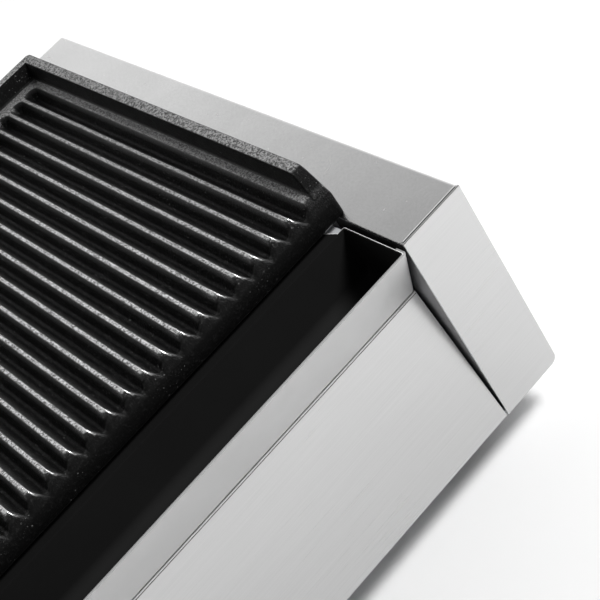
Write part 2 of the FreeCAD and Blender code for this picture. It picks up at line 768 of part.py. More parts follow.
def half_groove(sketch, side):
    """Half of one groove beside its middle line: rounded lip, straight flank and rounded root."""
    lip = number("crest_radius")
    root = number("root_radius")
    half = number("(rib_pitch - crest_flat) / 2")
    depth = number("groove_depth")
    above = number("sheet")
    drop = depth - root - lip
    steep = math.asin((lip + root) / math.hypot(half, drop)) + math.atan2(drop, half)
    lean = Vector(side * math.sin(steep), -math.cos(steep), 0)
    lip_centre = Vector(side * half, -lip, 0)
    root_centre = Vector(0, root - depth, 0)
    upright = Vector(0, 0, 1)
    lip_turns = (math.pi / 2, math.pi / 2 + steep)
    root_turns = (1.5 * math.pi, 1.5 * math.pi + steep)
    crest_end, flank_end = 1, 2
    if side < 0:
        lip_turns = (math.pi / 2 - steep, math.pi / 2)
        root_turns = (1.5 * math.pi - steep, 1.5 * math.pi)
        crest_end, flank_end = 2, 1
    middle_top = Vector(0, above, 0)
    outer_top = Vector(side * half, above, 0)
    crest_edge = Vector(side * half, 0, 0)
    shapes = [
        Part.LineSegment(Vector(0, -depth, 0), middle_top),
        Part.LineSegment(middle_top, outer_top),
        Part.LineSegment(outer_top, crest_edge),
        Part.ArcOfCircle(Part.Circle(lip_centre, upright, lip), *lip_turns),
        Part.LineSegment(lip_centre - lean * lip, root_centre + lean * root),
        Part.ArcOfCircle(Part.Circle(root_centre, upright, root), *root_turns),
    ]
    middle, closing, wall, lip_arc, flank, root_arc = (sketch.addGeometry(shape, False) for shape in shapes)
    rules = [
        ("Coincident", middle, 2, closing, 1), ("Coincident", closing, 2, wall, 1),
        ("Coincident", wall, 2, lip_arc, crest_end), ("Coincident", middle, 1, root_arc, crest_end),
        ("Tangent", lip_arc, flank_end, flank, 1), ("Tangent", flank, 2, root_arc, flank_end),
        ("Vertical", middle), ("Vertical", wall), ("Horizontal", closing),
        ("PointOnObject", middle, 1, -2), ("PointOnObject", root_arc, 3, -2),
    ]
    for rule in rules:
        sketch.addConstraint(Sketcher.Constraint(*rule))
    half_width = f"{side} * (rib_pitch - crest_flat) / 2"
    sizes = [
        ("DistanceX", (-1, 1, lip_arc, 3), half_width), ("DistanceY", (-1, 1, lip_arc, 3), "-crest_radius"),
        ("Radius", (lip_arc,), "crest_radius"), ("Radius", (root_arc,), "root_radius"),
        ("DistanceY", (-1, 1, root_arc, 3), "root_radius - groove_depth"),
        ("DistanceY", (-1, 1, middle, 2), "sheet"), ("DistanceX", (-1, 1, wall, 2), half_width),
    ]
    for kind, where, text in sizes:
        constraint = sketch.addConstraint(Sketcher.Constraint(kind, *where, number(text)))
        sketch.setExpression(f"Constraints[{constraint}]", bound(text))


GROOVE_END = f"({PLATE_REAR} - guard_top - guard_rise * tan(guard_draft) - rear_ledge - rib_pitch / 2)"


def groove_sketch(body, side):
    """A half groove across the first groove's middle line, where its straight run ends."""
    sketch = new_sketch(body, "XZ_Plane", f"-({GROOVE_END})")
    sketch.setExpression("AttachmentOffset.Base.x", bound("-rib_pitch * rib_count / 2"))
    sketch.setExpression("AttachmentOffset.Base.y", bound(CREST_Z))
    half_groove(sketch, side)
    return sketch


def grill_plate():
    """The cast plate: grooves between its ribs, a sloping front and a guard on three sides."""
    body = new_body("grill_plate")
    top = f"{CREST_Z} + guard_rise"
    profile = [
        (PLATE_FRONT, DECK_Z), (f"{CREST_Y} - knee_run", f"{CREST_Z} - knee_drop"),
        (f"{CREST_Y} + guard_run", top), (PLATE_REAR, top), (PLATE_REAR, DECK_Z),
    ]
    extrude(body, "Pad", polygon(new_sketch(body, "YZ_Plane"), profile), "plate_width", symmetric=True)
    half = number("plate_width / 2")
    slope_end = number(f"{CREST_Y} + guard_run")
    rear = number(PLATE_REAR)

    def corner(edge):
        middle = edge.CenterOfMass
        return abs(abs(middle.x) - half) < 0.01 and (middle.y < slope_end - 0.1 or middle.y > rear - 0.01)

    dress(body, "Fillet", "plate_corner", corner)
    inside_y = (f"{PLATE_FRONT} - crest_setback", f"{PLATE_REAR} - guard_top")
    inside = corners_of(both("plate_width / 2 - guard_top"), inside_y)
    recess = pocket_down(body, inside, top, "guard_rise")
    recess.setExpression("TaperAngle", bound("-guard_draft"))
    run = f"{GROOVE_END} - ({PLATE_FRONT}) + rib_pitch"
    right_cut = extrude(body, "Pocket", groove_sketch(body, 1), run, backwards=True)
    left_cut = extrude(body, "Pocket", groove_sketch(body, -1), run, backwards=True)
    turned = groove_sketch(body, 1)
    scoop = body.newObject("PartDesign::Groove", "grill_plate_scoop")
    scoop.Profile = turned
    scoop.ReferenceAxis = (turned, ["V_Axis"])
    scoop.Angle = 360
    repeat(body, [right_cut, left_cut, scoop], "X_Axis", "rib_count + 1", "rib_pitch")
    under_y = (f"{PLATE_FRONT} + plate_skirt", f"{PLATE_REAR} - plate_skirt")
    under = corners_of(both("plate_width / 2 - plate_skirt"), under_y)
    sketch = polygon(new_sketch(body, "XY_Plane", DECK_Z), under)
    extrude(body, "Pocket", sketch, "skirt_depth", backwards=True)
    tapped = new_sketch(body, "XY_Plane", UNDER_PLATE)
    for x, y in STUDS:
        circle(tapped, "stud_radius + fit / 2", x, y)
    extrude(body, "Pocket", tapped, "stud_grip", backwards=True)
    return body


def plate_gasket():
    """The flat seal on the deck around the opening, inside the plate's skirt."""
    body = new_body("plate_gasket")
    inner = (both("opening_half + gasket_gap"),
             (f"{CREST_Y} + opening_front - gasket_gap", f"{CREST_Y} + opening_rear + gasket_gap"))
    outer = (both("opening_half + gasket_gap + gasket_width"),
             (f"{CREST_Y} + opening_front - gasket_gap - gasket_width",
              f"{CREST_Y} + opening_rear + gasket_gap + gasket_width"))
    sketch = polygon(new_sketch(body, "XY_Plane", DECK_Z), corners_of(*outer))
    polygon(sketch, corners_of(*inner))
    extrude(body, "Pad", sketch, "skirt_depth")
    return body


# ---------------------------------------------------------------- drip tray

RIM_Z = f"({DECK_Z} - rim_drop)"
TRAY_SLOPE = "((tray_lip - tray_foot) / tray_height)"
TRAY_SECANT = f"sqrt(1 + {TRAY_SLOPE} ^ 2)"


def slanted(points):
    """Outline points given as distance in front of the crests and height over the tray's underside."""
    return [(f"{CREST_Y} - ({ahead})", f"{TRAY_Z} + ({up})") for ahead, up in points]


def front_upright(half, ahead):
    """A test for the slanted corner edges at the tray's front."""
    reach = number(half)
    limit = number(f"{CREST_Y} - ({ahead})")

    def chosen(edge):
        middle = edge.CenterOfMass
        return abs(abs(middle.x) - reach) < 0.01 and middle.y < limit and edge.BoundBox.ZLength > 5
    return chosen


def drip_tray():
    """The enamelled pan under the plate's front, with a lip that reaches back under the deck."""
    body = new_body("drip_tray")
    shell = slanted([
        ("tray_back", "0"), ("tray_foot - fascia", "0"),
        ("tray_lip - fascia", "tray_height"), ("tray_back", "tray_height"),
    ])
    half = "(tray_half - fascia)"
    extrude(body, "Pad", polygon(new_sketch(body, "YZ_Plane"), shell), f"2 * {half}", symmetric=True)
    dress(body, "Fillet", "tray_corner", front_upright(half, "tray_foot - tray_corner"))
    over = "(tray_height + sheet)"
    inner_foot = f"tray_foot - fascia - tray_wall * {TRAY_SECANT}"
    hollow = slanted([
        ("tray_back + tray_wall", "tray_wall"), (f"{inner_foot} + tray_wall * {TRAY_SLOPE}", "tray_wall"),
        (f"{inner_foot} + {over} * {TRAY_SLOPE}", over), ("tray_back + tray_wall", over),
    ])
    sketch = polygon(new_sketch(body, "YZ_Plane"), hollow)
    extrude(body, "Pocket", sketch, f"2 * ({half} - tray_wall)", symmetric=True)
    back = f"{CREST_Y} - tray_back"
    tip = f"{back} + lip_reach"
    lip = [("-lip_root", back), ("lip_root", back), ("lip_half", tip), ("-lip_half", tip)]
    pad_along_z(body, lip, f"{RIM_Z} - tray_wall", RIM_Z)
    return body


def tray_fascia():
    """The stainless front of the tray, folded back a little at each end."""
    body = new_body("tray_fascia")
    fold = "fascia_fold"
    shell = slanted([
        (f"tray_foot - {fold}", "0"), ("tray_foot", "0"),
        ("tray_lip", "tray_height"), (f"tray_lip - {fold}", "tray_height"),
    ])
    extrude(body, "Pad", polygon(new_sketch(body, "YZ_Plane"), shell), "2 * tray_half", symmetric=True)
    inside = slanted([
        (f"tray_foot - 2 * {fold}", "-sheet"), (f"tray_foot - fascia - sheet * {TRAY_SLOPE}", "-sheet"),
        (f"tray_lip - fascia + sheet * {TRAY_SLOPE}", "tray_height + sheet"),
        (f"tray_lip - 2 * {fold}", "tray_height + sheet"),
    ])
    sketch = polygon(new_sketch(body, "YZ_Plane"), inside)
    extrude(body, "Pocket", sketch, "2 * (tray_half - fascia)", symmetric=True)
    ahead = f"(tray_foot + tray_lip - {fold}) / 2"
    dress(body, "Fillet", "tray_corner", front_upright("tray_half - fascia", ahead))
    dress(body, "Fillet", "tray_corner + fascia", front_upright("tray_half", ahead))
    return body


# ---------------------------------------------------------------- heating

BAR_TOP = f"({UNDER_PLATE} - 2 * element_radius - fit)"
BAR_LOW = f"({UNDER_PLATE} - 2 * element_radius - fit - bar_thick)"
SHIELD_Z = f"({BAR_LOW} - nut_height - blanket_gap - blanket_thick)"
TAIL_PLACES = [(f"{sign}(element_first{runs})", f"{CREST_Y} + element_drop") for sign in ("-", "")
               for runs in ("", " + 5 * element_pitch")]


def heating_element(name, side):
    """A tubular element: six runs under one half of the plate, its tails bent down at the back."""
    depth = number(f"{UNDER_PLATE} - element_radius - fit / 2")
    runs = [side * (number("element_first") + number("element_pitch") * index) for index in range(6)]
    front = number(f"{CREST_Y} + element_front")
    rear = number(f"{CREST_Y} + element_rear")
    drop = number(f"{CREST_Y} + element_drop")
    tail = number(f"{DECK_Z} - element_tail")
    points = [Vector(runs[0], drop, tail), Vector(runs[0], drop, depth)]
    near_end = True
    for left_run, right_run in zip(runs, runs[1:]):
        turn_y = front if near_end else rear
        points += [Vector(left_run, turn_y, depth), Vector(right_run, turn_y, depth)]
        near_end = not near_end
    points += [Vector(runs[-1], drop, depth), Vector(runs[-1], drop, tail)]
    return feature(f"heating_element_{name}", tube(points, number("element_bend"), number("element_radius")))


def stud_tools(name, radius, low, high):
    return [rod(f"{name}_{index}", radius, "z", x, y, (low, high)) for index, (x, y) in enumerate(STUDS)]


def clamp_bar(name, row_y):
    """A flat bar that presses the elements against the plate."""
    bar_y = (f"{CREST_Y} + {row_y} - bar_width / 2", f"{CREST_Y} + {row_y} + bar_width / 2")
    bar = box(f"{name}_blank", both("bar_half"), bar_y, (BAR_LOW, BAR_TOP))
    through = (f"{BAR_LOW} - sheet", f"{BAR_TOP} + sheet")
    holes = [rod(f"{name}_hole_{index}", "stud_radius + fit", "z", x, y, through)
             for index, (x, y) in enumerate(STUDS) if y.endswith(row_y)]
    return cut(name, bar, holes)


def nut_template(name, corner_radius, bore, height):
    """A hexagon nut on the origin, which its groups copy."""
    blank = prism(f"{name}_blank", corner_radius, "z", "0", "0", ("0", height))
    hole = rod(f"{name}_bore", bore, "z", "0", "0", (f"-({height})", f"2 * ({height})"))
    return cut(name, blank, [hole])


def heat_shield():
    """The reflector pan that hangs on the studs under the elements."""
    shield_y = (f"{CREST_Y} + shield_front", f"{CREST_Y} + shield_rear")
    shield_z = (f"{SHIELD_Z} - sheet", f"{UNDER_DECK} - 2 * sheet")
    blank = box("shield_blank", both("shield_half"), shield_y, shield_z)
    inner_y = (f"{shield_y[0]} + sheet", f"{shield_y[1]} - sheet")
    hollow = box("shield_hollow", both("shield_half - sheet"), inner_y, (SHIELD_Z, DECK_Z))
    through = (f"{SHIELD_Z} - 2 * sheet", DECK_Z)
    tails = [rod(f"shield_tail_{index}", "element_radius + 2 * sheet", "z", x, y, through)
             for index, (x, y) in enumerate(TAIL_PLACES)]
    lead = rod("shield_lead", "capillary_radius + 2 * sheet", "z", "bulb_x", CAPILLARY_Y, through)
    studs = stud_tools("shield_stud", "stud_radius + fit", *through)
    return cut("heat_shield", blank, [hollow, lead] + tails + studs)


def insulation_blanket():
    """The fibre slab that fills the heat shield under the clamp bars."""
    slab_y = (f"{CREST_Y} + shield_front + sheet + fit", f"{CREST_Y} + shield_rear - sheet - fit")
    top = f"{SHIELD_Z} + blanket_thick"
    slab = box("blanket_slab", both("shield_half - sheet - fit"), slab_y, (SHIELD_Z, top))
    through = (f"{SHIELD_Z} - sheet", f"{top} + sheet")
    tails = [rod(f"blanket_tail_{index}", "element_radius + sheet", "z", x, y, through)
             for index, (x, y) in enumerate(TAIL_PLACES)]
    lead = rod("blanket_lead", "capillary_radius + sheet", "z", "bulb_x", CAPILLARY_Y, through)
    studs = stud_tools("blanket_stud", "stud_radius + sheet", *through)
    return cut("insulation_blanket", slab, [lead] + tails + studs)


# ---------------------------------------------------------------- thermostat and knob

CAPILLARY_Y = f"({CREST_Y} + bulb_front - capillary_bend)"
KNOB_PLACE = ("knob_x", "knob_s")


def thermostat_body():
    """The regulator behind the panel, with the bushing that its shaft turns in."""
    half = both("thermostat_width / 2")
    case = box("thermostat_case", half, half, ("-sheet - thermostat_depth", "-sheet"))
    bushing = rod("thermostat_bushing", "bushing_radius", "z", "0", "0", ("-2 * sheet", "bushing_length"))
    through = ("-shaft_out", "shaft_out")
    bore = rod("thermostat_bore", "shaft_radius + shaft_clearance", "z", "0", "0", through)
    regulator = cut("thermostat_body", fuse("thermostat_solid", [case, bushing]), [bore])
    return on_panel(regulator, *KNOB_PLACE)


def thermostat_nut():
    nut = nut_template("thermostat_nut", "bushing_radius * 1.4", "bushing_radius + fit / 2", "3 * sheet")
    return on_panel(nut, *KNOB_PLACE, out="dial_thick")


def thermostat_shaft():
    shaft = rod("shaft_bar", "shaft_radius", "z", "0", "0", ("fit - shaft_out", "shaft_out"))
    return on_panel(group("thermostat_shaft", [shaft]), *KNOB_PLACE)


def dial_ring():
    """The thin scale disc around the knob."""
    disc = rod("dial_disc", "dial_radius", "z", "0", "0", ("0", "dial_thick"))
    hole = rod("dial_hole", "bushing_radius + fit", "z", "0", "0", ("-sheet", "2 * sheet"))
    return on_panel(cut("dial_ring", disc, [hole]), *KNOB_PLACE)


def control_knob():
    """A fluted knob with a skirt, hollow over the bushing nut."""
    body = new_body("control_knob")
    foot, shoulder, top = "knob_stand", "knob_stand + knob_skirt", "knob_stand + knob_height"
    profile = [
        ("0", foot), ("knob_skirt_radius", foot), ("knob_skirt_radius", shoulder),
        ("knob_radius", f"{shoulder} + sheet"), ("knob_top_radius", top), ("0", top),
    ]
    sketch = polygon(new_sketch(body, "XZ_Plane"), profile)
    turned = body.newObject("PartDesign::Revolution", "control_knob_turned")
    turned.Profile = sketch
    turned.ReferenceAxis = (sketch, ["V_Axis"])
    turned.Angle = 360
    rims = (number(top), number(shoulder))

    def rim(edge):
        at_rim = any(abs(edge.CenterOfMass.z - z) < 0.01 for z in rims)
        return at_rim and edge.Curve.TypeId == "Part::GeomCircle"

    dress(body, "Fillet", "sheet", rim)
    flute = new_sketch(body, "XY_Plane", f"{top} + sheet")
    circle(flute, "flute_radius", "knob_radius + flute_radius * 0.6", "0")
    scallop = extrude(body, "Pocket", flute, "knob_height - knob_skirt - sheet")
    flutes = body.newObject("PartDesign::PolarPattern", "control_knob_flutes")
    flutes.Originals = [scallop]
    upright = next(item for item in body.Origin.OriginFeatures if item.Role == "Z_Axis")
    flutes.Axis = (upright, [""])
    flutes.Angle = 360
    flutes.setExpression("Occurrences", bound("flute_count"))
    body.Tip = flutes
    recess = new_sketch(body, "XY_Plane", foot)
    circle(recess, "bushing_radius * 1.8", "0", "0")
    extrude(body, "Pocket", recess, "bushing_length", backwards=True)
    bore = new_sketch(body, "XY_Plane", foot)
    circle(bore, "shaft_radius + shaft_clearance", "0", "0")
    extrude(body, "Pocket", bore, "shaft_out - knob_stand + fit", backwards=True)
    return on_panel(body, *KNOB_PLACE)


def thermostat_capillary():
    """The sensing bulb under the plate and the thin tube that leads down from it to the regulator."""
    level = f"{UNDER_PLATE} - bulb_radius - fit"
    bulb_y = (number(f"{CREST_Y} + bulb_front"), number(f"{CREST_Y} + bulb_rear"))
    start = point("bulb_x", f"{CREST_Y} + bulb_rear", level)
    bulb = Part.makeCylinder(number("bulb_radius"), bulb_y[1] - bulb_y[0], start, Vector(0, -1, 0))
    lead = [
        point("bulb_x", f"{CREST_Y} + bulb_front", level),
        point("bulb_x", CAPILLARY_Y, level),
        point("bulb_x", CAPILLARY_Y, f"{SHIELD_Z} - 3 * capillary_bend"),
        point("knob_x", f"{CREST_Y} + 3 * capillary_bend", f"{SHIELD_Z} - 5 * capillary_bend"),
        point("knob_x", "front_y + thermostat_depth + thermostat_width / 2", f"{BASE_Z} + thermostat_width"),
    ]
    small = number("capillary_bend") - number("capillary_radius")
    return feature("thermostat_capillary", bulb.fuse(tube(lead, small, number("capillary_radius"))))


def bulb_clip():
    """The saddle that holds the sensing bulb up against the plate."""
    level = f"{UNDER_PLATE} - bulb_radius - fit"
    middle = f"{CREST_Y} + (bulb_front + bulb_rear) / 2"
    clip_y = (f"{middle} - clip_half", f"{middle} + clip_half")
    through = (f"{middle} - clip_half - sheet", f"{middle} + clip_half + sheet")
    saddle = rod("clip_saddle", "bulb_radius + fit + sheet", "y", "bulb_x", clip_y, level)
    wings_x = ("bulb_x - 3 * bulb_radius", "bulb_x + 3 * bulb_radius")
    wings = box("clip_wings", wings_x, clip_y, (f"{UNDER_PLATE} - sheet", UNDER_PLATE))
    room = rod("clip_room", "bulb_radius + fit", "y", "bulb_x", through, level)
    above_x = ("bulb_x - bulb_radius", "bulb_x + bulb_radius")
    above = box("clip_above", above_x, through, (level, f"{UNDER_PLATE} + bar_thick"))
    return cut("bulb_clip", fuse("clip_solid", [saddle, wings]), [room, above])


# ---------------------------------------------------------------- switch and lamps

ROCKER_DEPTH = "-switch_bezel"


def switch_housing():
    """The snap-in body of the power switch, with a bezel and a well for the rocker."""
    well = ("-switch_depth + 2 * switch_wall", "2 * switch_bezel")
    width, height = "switch_half_width", "switch_half_height"
    frame_x, frame_y = both(f"{width} + switch_bezel"), both(f"{height} + switch_bezel")
    bezel = box("switch_frame", frame_x, frame_y, ("0", "switch_bezel"))
    case = box("switch_case", both(width), both(height), ("-switch_depth", "0"))
    room = box("switch_well", both(f"{width} - switch_wall"), both(f"{height} - switch_wall"), well)
    housing = cut("switch_housing", fuse("switch_solid", [bezel, case]), [room])
    return on_panel(housing, "switch_x", "switch_s")


def switch_rocker():
    """The rocker, at rest with its upper end out; its pivot is its own origin."""
    body = new_body("switch_rocker")
    profile = [
        ("-rocker_half", "rocker_tip"), ("-rocker_half", "-sheet"), ("-rocker_half / 2", "-rocker_root"),
        ("rocker_half / 2", "-rocker_root"), ("rocker_half", "-sheet"), ("rocker_half", "rocker_tip"),
        ("0", "rocker_dip"),
    ]
    width = "2 * (switch_half_width - switch_wall - rocker_gap)"
    extrude(body, "Pad", polygon(new_sketch(body, "YZ_Plane"), profile), width, symmetric=True)
    tips = edge_at("x", ("-rocker_half", "rocker_tip"), ("rocker_half", "rocker_tip"))
    dress(body, "Fillet", "sheet * 0.8", tips)
    return on_panel(body, "switch_x", "switch_s", ROCKER_DEPTH, "rocker_tilt")


def lamp(name, height):
    """A pilot lamp's body and its domed lens."""
    bezel = rod(f"{name}_bezel", "lamp_bezel_radius", "z", "0", "0", ("0", "lamp_bezel"))
    shank = rod(f"{name}_shank", "lamp_radius", "z", "0", "0", ("-lamp_depth", "0"))
    seat = rod(f"{name}_seat", "lens_radius + fit / 2", "z", "0", "0", ("lamp_bezel / 2", "2 * lamp_bezel"))
    body = on_panel(cut(f"{name}_body", fuse(f"{name}_solid", [bezel, shank]), [seat]), "lamp_x", height)
    foot = rod(f"{name}_lens_foot", "lens_radius", "z", "0", "0", ("lamp_bezel / 2", "lamp_bezel"))
    dome = doc.addObject("Part::Sphere", f"{name}_dome")
    dome.setExpression("Radius", "dims.lens_radius")
    dome.Angle1 = 0
    place(dome, "0", "0", "lamp_bezel")
    lens = on_panel(fuse(f"{name}_lens", [foot, dome]), "lamp_x", height)
    return [body, lens]


# ---------------------------------------------------------------- rear fittings

FITTING_Z = f"({BASE_Z} + fitting_rise)"
REAR_INNER = f"({REAR_FACE} - sheet)"


def limit_thermostat():
    """The safety cut-out behind the rear panel, with the bushing of its reset button."""
    half = "limit_width / 2"
    case_x = (f"limit_x - {half}", f"limit_x + {half}")
    case_z = (f"{FITTING_Z} - {half}", f"{FITTING_Z} + {half}")
    case = box("limit_case", case_x, (f"{REAR_INNER} - limit_depth", REAR_INNER), case_z)
    bushing_y = (f"{REAR_INNER} - fit", f"{REAR_FACE} + bushing_length")
    bushing = rod("limit_bushing", "bushing_radius", "y", "limit_x", bushing_y, FITTING_Z)
    bore_y = (f"{REAR_INNER} - reset_length", f"{REAR_FACE} + 2 * bushing_length")
    bore = rod("limit_bore", "reset_radius + reset_clearance", "y", "limit_x", bore_y, FITTING_Z)
    return cut("limit_thermostat", fuse("limit_solid", [case, bushing]), [bore])


def limit_nut():
    nut = nut_template("limit_nut", "bushing_radius * 1.4", "bushing_radius + fit / 2", "3 * sheet")
    return place(nut, "limit_x", REAR_FACE, FITTING_Z, TURNS["y"])


def reset_button():
    tip = f"{REAR_FACE} + bushing_length + reset_out"
    pin = rod("reset_pin", "reset_radius", "y", "limit_x", (f"{tip} - reset_length", tip), FITTING_Z)
    return group("reset_button", [pin])


def cable_gland():
    """The cord's entry: a threaded stub through the panel, a hexagon flange and a domed nut."""
    inner, outer = f"{REAR_INNER} - gland_in", f"{REAR_FACE} + gland_out"
    quarter, third = f"{REAR_FACE} + gland_out / 4", f"{REAR_FACE} + gland_out / 3"
    stub = rod("gland_stub", "gland_thread", "y", "gland_x", (inner, REAR_FACE), FITTING_Z)
    flange = prism("gland_flange", "gland_flange_radius", "y", "gland_x", (REAR_FACE, quarter), FITTING_Z)
    collar = rod("gland_collar", "gland_collar_radius", "y", "gland_x", (quarter, third), FITTING_Z)
    dome = rod("gland_dome", "gland_radius", "y", "gland_x", (third, outer), FITTING_Z, "gland_mouth_radius")
    through = (f"{inner} - sheet", f"{outer} + sheet")
    bore = rod("gland_hole", "gland_bore", "y", "gland_x", through, FITTING_Z)
    return cut("cable_gland", fuse("gland_solid", [stub, flange, collar, dome]), [bore])


def gland_locknut():
    nut = nut_template("gland_locknut", "gland_radius * 1.1", "gland_thread + fit / 2", "4 * sheet")
    return place(nut, "gland_x", f"{REAR_INNER} - 4 * sheet", FITTING_Z, TURNS["y"])


def bonding_stud():
    """The stud for the equipotential conductor, relieved between its outer nut and its free end."""
    neck = f"{REAR_FACE} + nut_height"
    shoulder = f"{neck} + bond_relief"
    inner = rod("bond_inner", "bond_radius", "y", "bond_x", (f"{REAR_INNER} - bond_in", neck), FITTING_Z)
    relief = rod("bond_neck", "bond_relief_radius", "y", "bond_x", (neck, shoulder), FITTING_Z)
    outer = rod("bond_outer", "bond_radius", "y", "bond_x", (shoulder, f"{REAR_FACE} + bond_out"), FITTING_Z)
    return fuse("bonding_stud", [inner, relief, outer])


def bonding_nuts():
    """One nut on each side of the rear panel."""
    nut = nut_template("bond_nut", "nut_radius", "bond_radius + fit / 2", "nut_height")
    places = [("bond_x", REAR_FACE, FITTING_Z), ("bond_x", f"{REAR_INNER} - nut_height", FITTING_Z)]
    return copies("bonding_nuts", nut, places, TURNS["y"])


BLOCK_Y = f"({REAR_INNER} - 2 * block_depth - gland_in)"
POLES = [f"gland_x + ({step}) * block_width / 4" for step in (-1, 0, 1)]


def terminal_block():
    """The ceramic block that joins the supply to the wiring, one pole for each conductor."""
    half = "block_width / 2"
    block_x = (f"gland_x - {half}", f"gland_x + {half}")
    block_y = (BLOCK_Y, f"{BLOCK_Y} + block_depth")
    block = box("block_blank", block_x, block_y, (FLOOR_Z, f"{FLOOR_Z} + block_height"))
    level = f"{FLOOR_Z} + block_height / 2"
    ends = (f"{BLOCK_Y} - sheet", f"{BLOCK_Y} + block_depth + sheet")
    entries = [rod(f"block_entry_{index}", "2 * wire_radius", "y", x, ends, level)
               for index, x in enumerate(POLES)]
    top = (f"{FLOOR_Z} + block_height / 2 + wire_radius", f"{FLOOR_Z} + block_height + sheet")
    middle = f"{BLOCK_Y} + block_depth / 2"
    wells = [rod(f"block_well_{index}", "screw_radius + sheet", "z", x, middle, top)
             for index, x in enumerate(POLES)]
    return cut("terminal_block", block, entries + wells)


def terminal_screws():
    middle = f"{BLOCK_Y} + block_depth / 2"
    low = f"{FLOOR_Z} + block_height / 2 + wire_radius"
    upright = (low, f"{low} + 4 * sheet")
    screws = [rod(f"terminal_screw_{index}", "screw_radius + sheet / 2", "z", x, middle, upright)
              for index, x in enumerate(POLES)]
    return group("terminal_screws", screws)


def wiring_loom():
    """The conductors from the terminal block to the switch, the thermostat, the cut-out and the heat."""
    level = number(f"{FLOOR_Z} + block_height / 2")
    start_y = number(f"{BLOCK_Y} + block_depth / 4")
    behind_panel = number("front_y + 2 * thermostat_depth + cap_flange / 2")
    rise = number(f"{BASE_Z} + thermostat_width")
    ends = ("switch_x", "knob_x", "lamp_x")
    bend = number("wire_bend")
    wires = []
    for index, (pole, end) in enumerate(zip(POLES, ends)):
        lane = start_y - bend * (index + 2)
        x = number(end)
        wires.append(tube([
            Vector(number(pole), start_y, level), Vector(number(pole), lane, level),
            Vector(x, lane, level), Vector(x, behind_panel, level), Vector(x, behind_panel, rise),
        ], bend / 2, number("wire_radius")))
    return feature("wiring_loom", Part.makeCompound(wires))


# ---------------------------------------------------------------- feet and fasteners

def foot(name, x, y):
    """A rubber foot with a deep bore for its screw."""
    block = rod(f"{name}_block", "foot_toe_radius", "z", x, y, ("0", PAN_Z), top_radius="foot_radius")
    bore = rod(f"{name}_bore", "foot_screw_head_radius + sheet", "z", x, y, ("-sheet", "foot_bore_depth"))
    hole = rod(f"{name}_hole", "foot_screw_radius + fit / 2", "z", x, y, ("0", f"{PAN_Z} + sheet"))
    return cut(name, block, [bore, hole])


def screw_template(name, head_radius, head, shank_radius, shank):
    """A pan-head screw on the origin, its shank upwards and a cross recess in its head."""
    cap = rod(f"{name}_cap", head_radius, "z", "0", "0", (f"-({head})", "0"))
    shaft = rod(f"{name}_shaft", shank_radius, "z", "0", "0", (f"-({head}) / 2", shank))
    arm = both(f"({head_radius}) * 0.55")
    thin = both(f"({head_radius}) * 0.12")
    recess = (f"-({head}) - sheet", f"-({head}) * 0.45")
    slots = [box(f"{name}_slot_x", arm, thin, recess), box(f"{name}_slot_y", thin, arm, recess)]
    return cut(name, fuse(f"{name}_solid", [cap, shaft]), slots)


def fasteners():
    """Every group of identical screws and nuts."""
    stud_low = f"{UNDER_PLATE} + stud_grip - fit - stud_length"
    studs = stud_tools("stud", "stud_radius", stud_low, f"{stud_low} + stud_length")
    nut = nut_template("stud_nut", "nut_radius", "stud_radius + fit / 2", "nut_height")
    foot_nut = nut_template("foot_nut", "nut_radius * 0.8", "foot_screw_radius + fit / 2", "4 * sheet")
    small = screw_template("panel_screw", "screw_head_radius", "screw_head", "screw_radius", "screw_length")
    large = screw_template("foot_screw", "foot_screw_head_radius", "foot_screw_head", "foot_screw_radius",
                           f"{FLOOR_Z} - foot_bore_depth + 6 * sheet")
    backwards = Rotation(Vector(1, 0, 0), 90)
    return [
        group("plate_studs", studs),
        copies("clamp_nuts", nut, [(x, y, f"{BAR_LOW} - nut_height") for x, y in STUDS]),
        copies("shield_nuts", nut, [(x, y, f"{SHIELD_Z} - sheet - nut_height") for x, y in STUDS]),
        copies("foot_screws", large, [(x, y, "foot_bore_depth") for x, y in FOOT_PLACES]),
        copies("foot_nuts", foot_nut, [(x, y, FLOOR_Z) for x, y in FOOT_PLACES]),
        copies("base_screws", small, [(x, y, BASE_Z) for x, y in PAN_SCREWS]),
        copies("rear_screws", small, [(x, REAR_FACE, z) for x, z in PANEL_SCREWS], backwards),
    ]


# ---------------------------------------------------------------- assembly

def build():
    """Every sub-part of the grill, in order from the outside in."""
    parts = [top_casing()]
    for name, side in SIDES.items():
        parts += [front_cap(name, side), arm_cheek(name, side), tray_rail(name, side), rear_angle(name, side)]
        parts.append(heating_element(name, side))
    parts += [tray_bay_wall(), front_panel(), base_pan(), rear_panel()]
    parts += [grill_plate(), plate_gasket(), drip_tray(), tray_fascia()]
    parts += [clamp_bar("clamp_bar_front", "bar_front"), clamp_bar("clamp_bar_rear", "bar_rear")]
    parts += [heat_shield(), insulation_blanket(), thermostat_capillary(), bulb_clip()]
    parts += [thermostat_body(), thermostat_nut(), thermostat_shaft(), dial_ring(), control_knob()]
    parts += [switch_housing(), switch_rocker()]
    parts += lamp("power_lamp", "lamp_high_s") + lamp("heating_lamp", "lamp_low_s")
    parts += [limit_thermostat(), limit_nut(), reset_button(), cable_gland(), gland_locknut()]
    parts += [bonding_stud(), bonding_nuts(), terminal_block(), terminal_screws(), wiring_loom()]
    for row, back in (("front", "front_y + foot_front"), ("rear", "front_y + foot_rear")):
        parts += [foot(f"foot_{row}_left", "-foot_x", back), foot(f"foot_{row}_right", "foot_x", back)]
    return parts + fasteners()


def check(parts):
    """Stop if any object failed or any sub-part has no valid solid."""
    failed = [item.Name for item in doc.Objects if {"Invalid", "Error"} & set(item.State)]
    empty = [part.Label for part in parts if not part.Shape.Solids or not part.Shape.isValid()]
    if failed or empty:
        raise RuntimeError(f"failed objects: {failed}; bad shapes: {empty}")


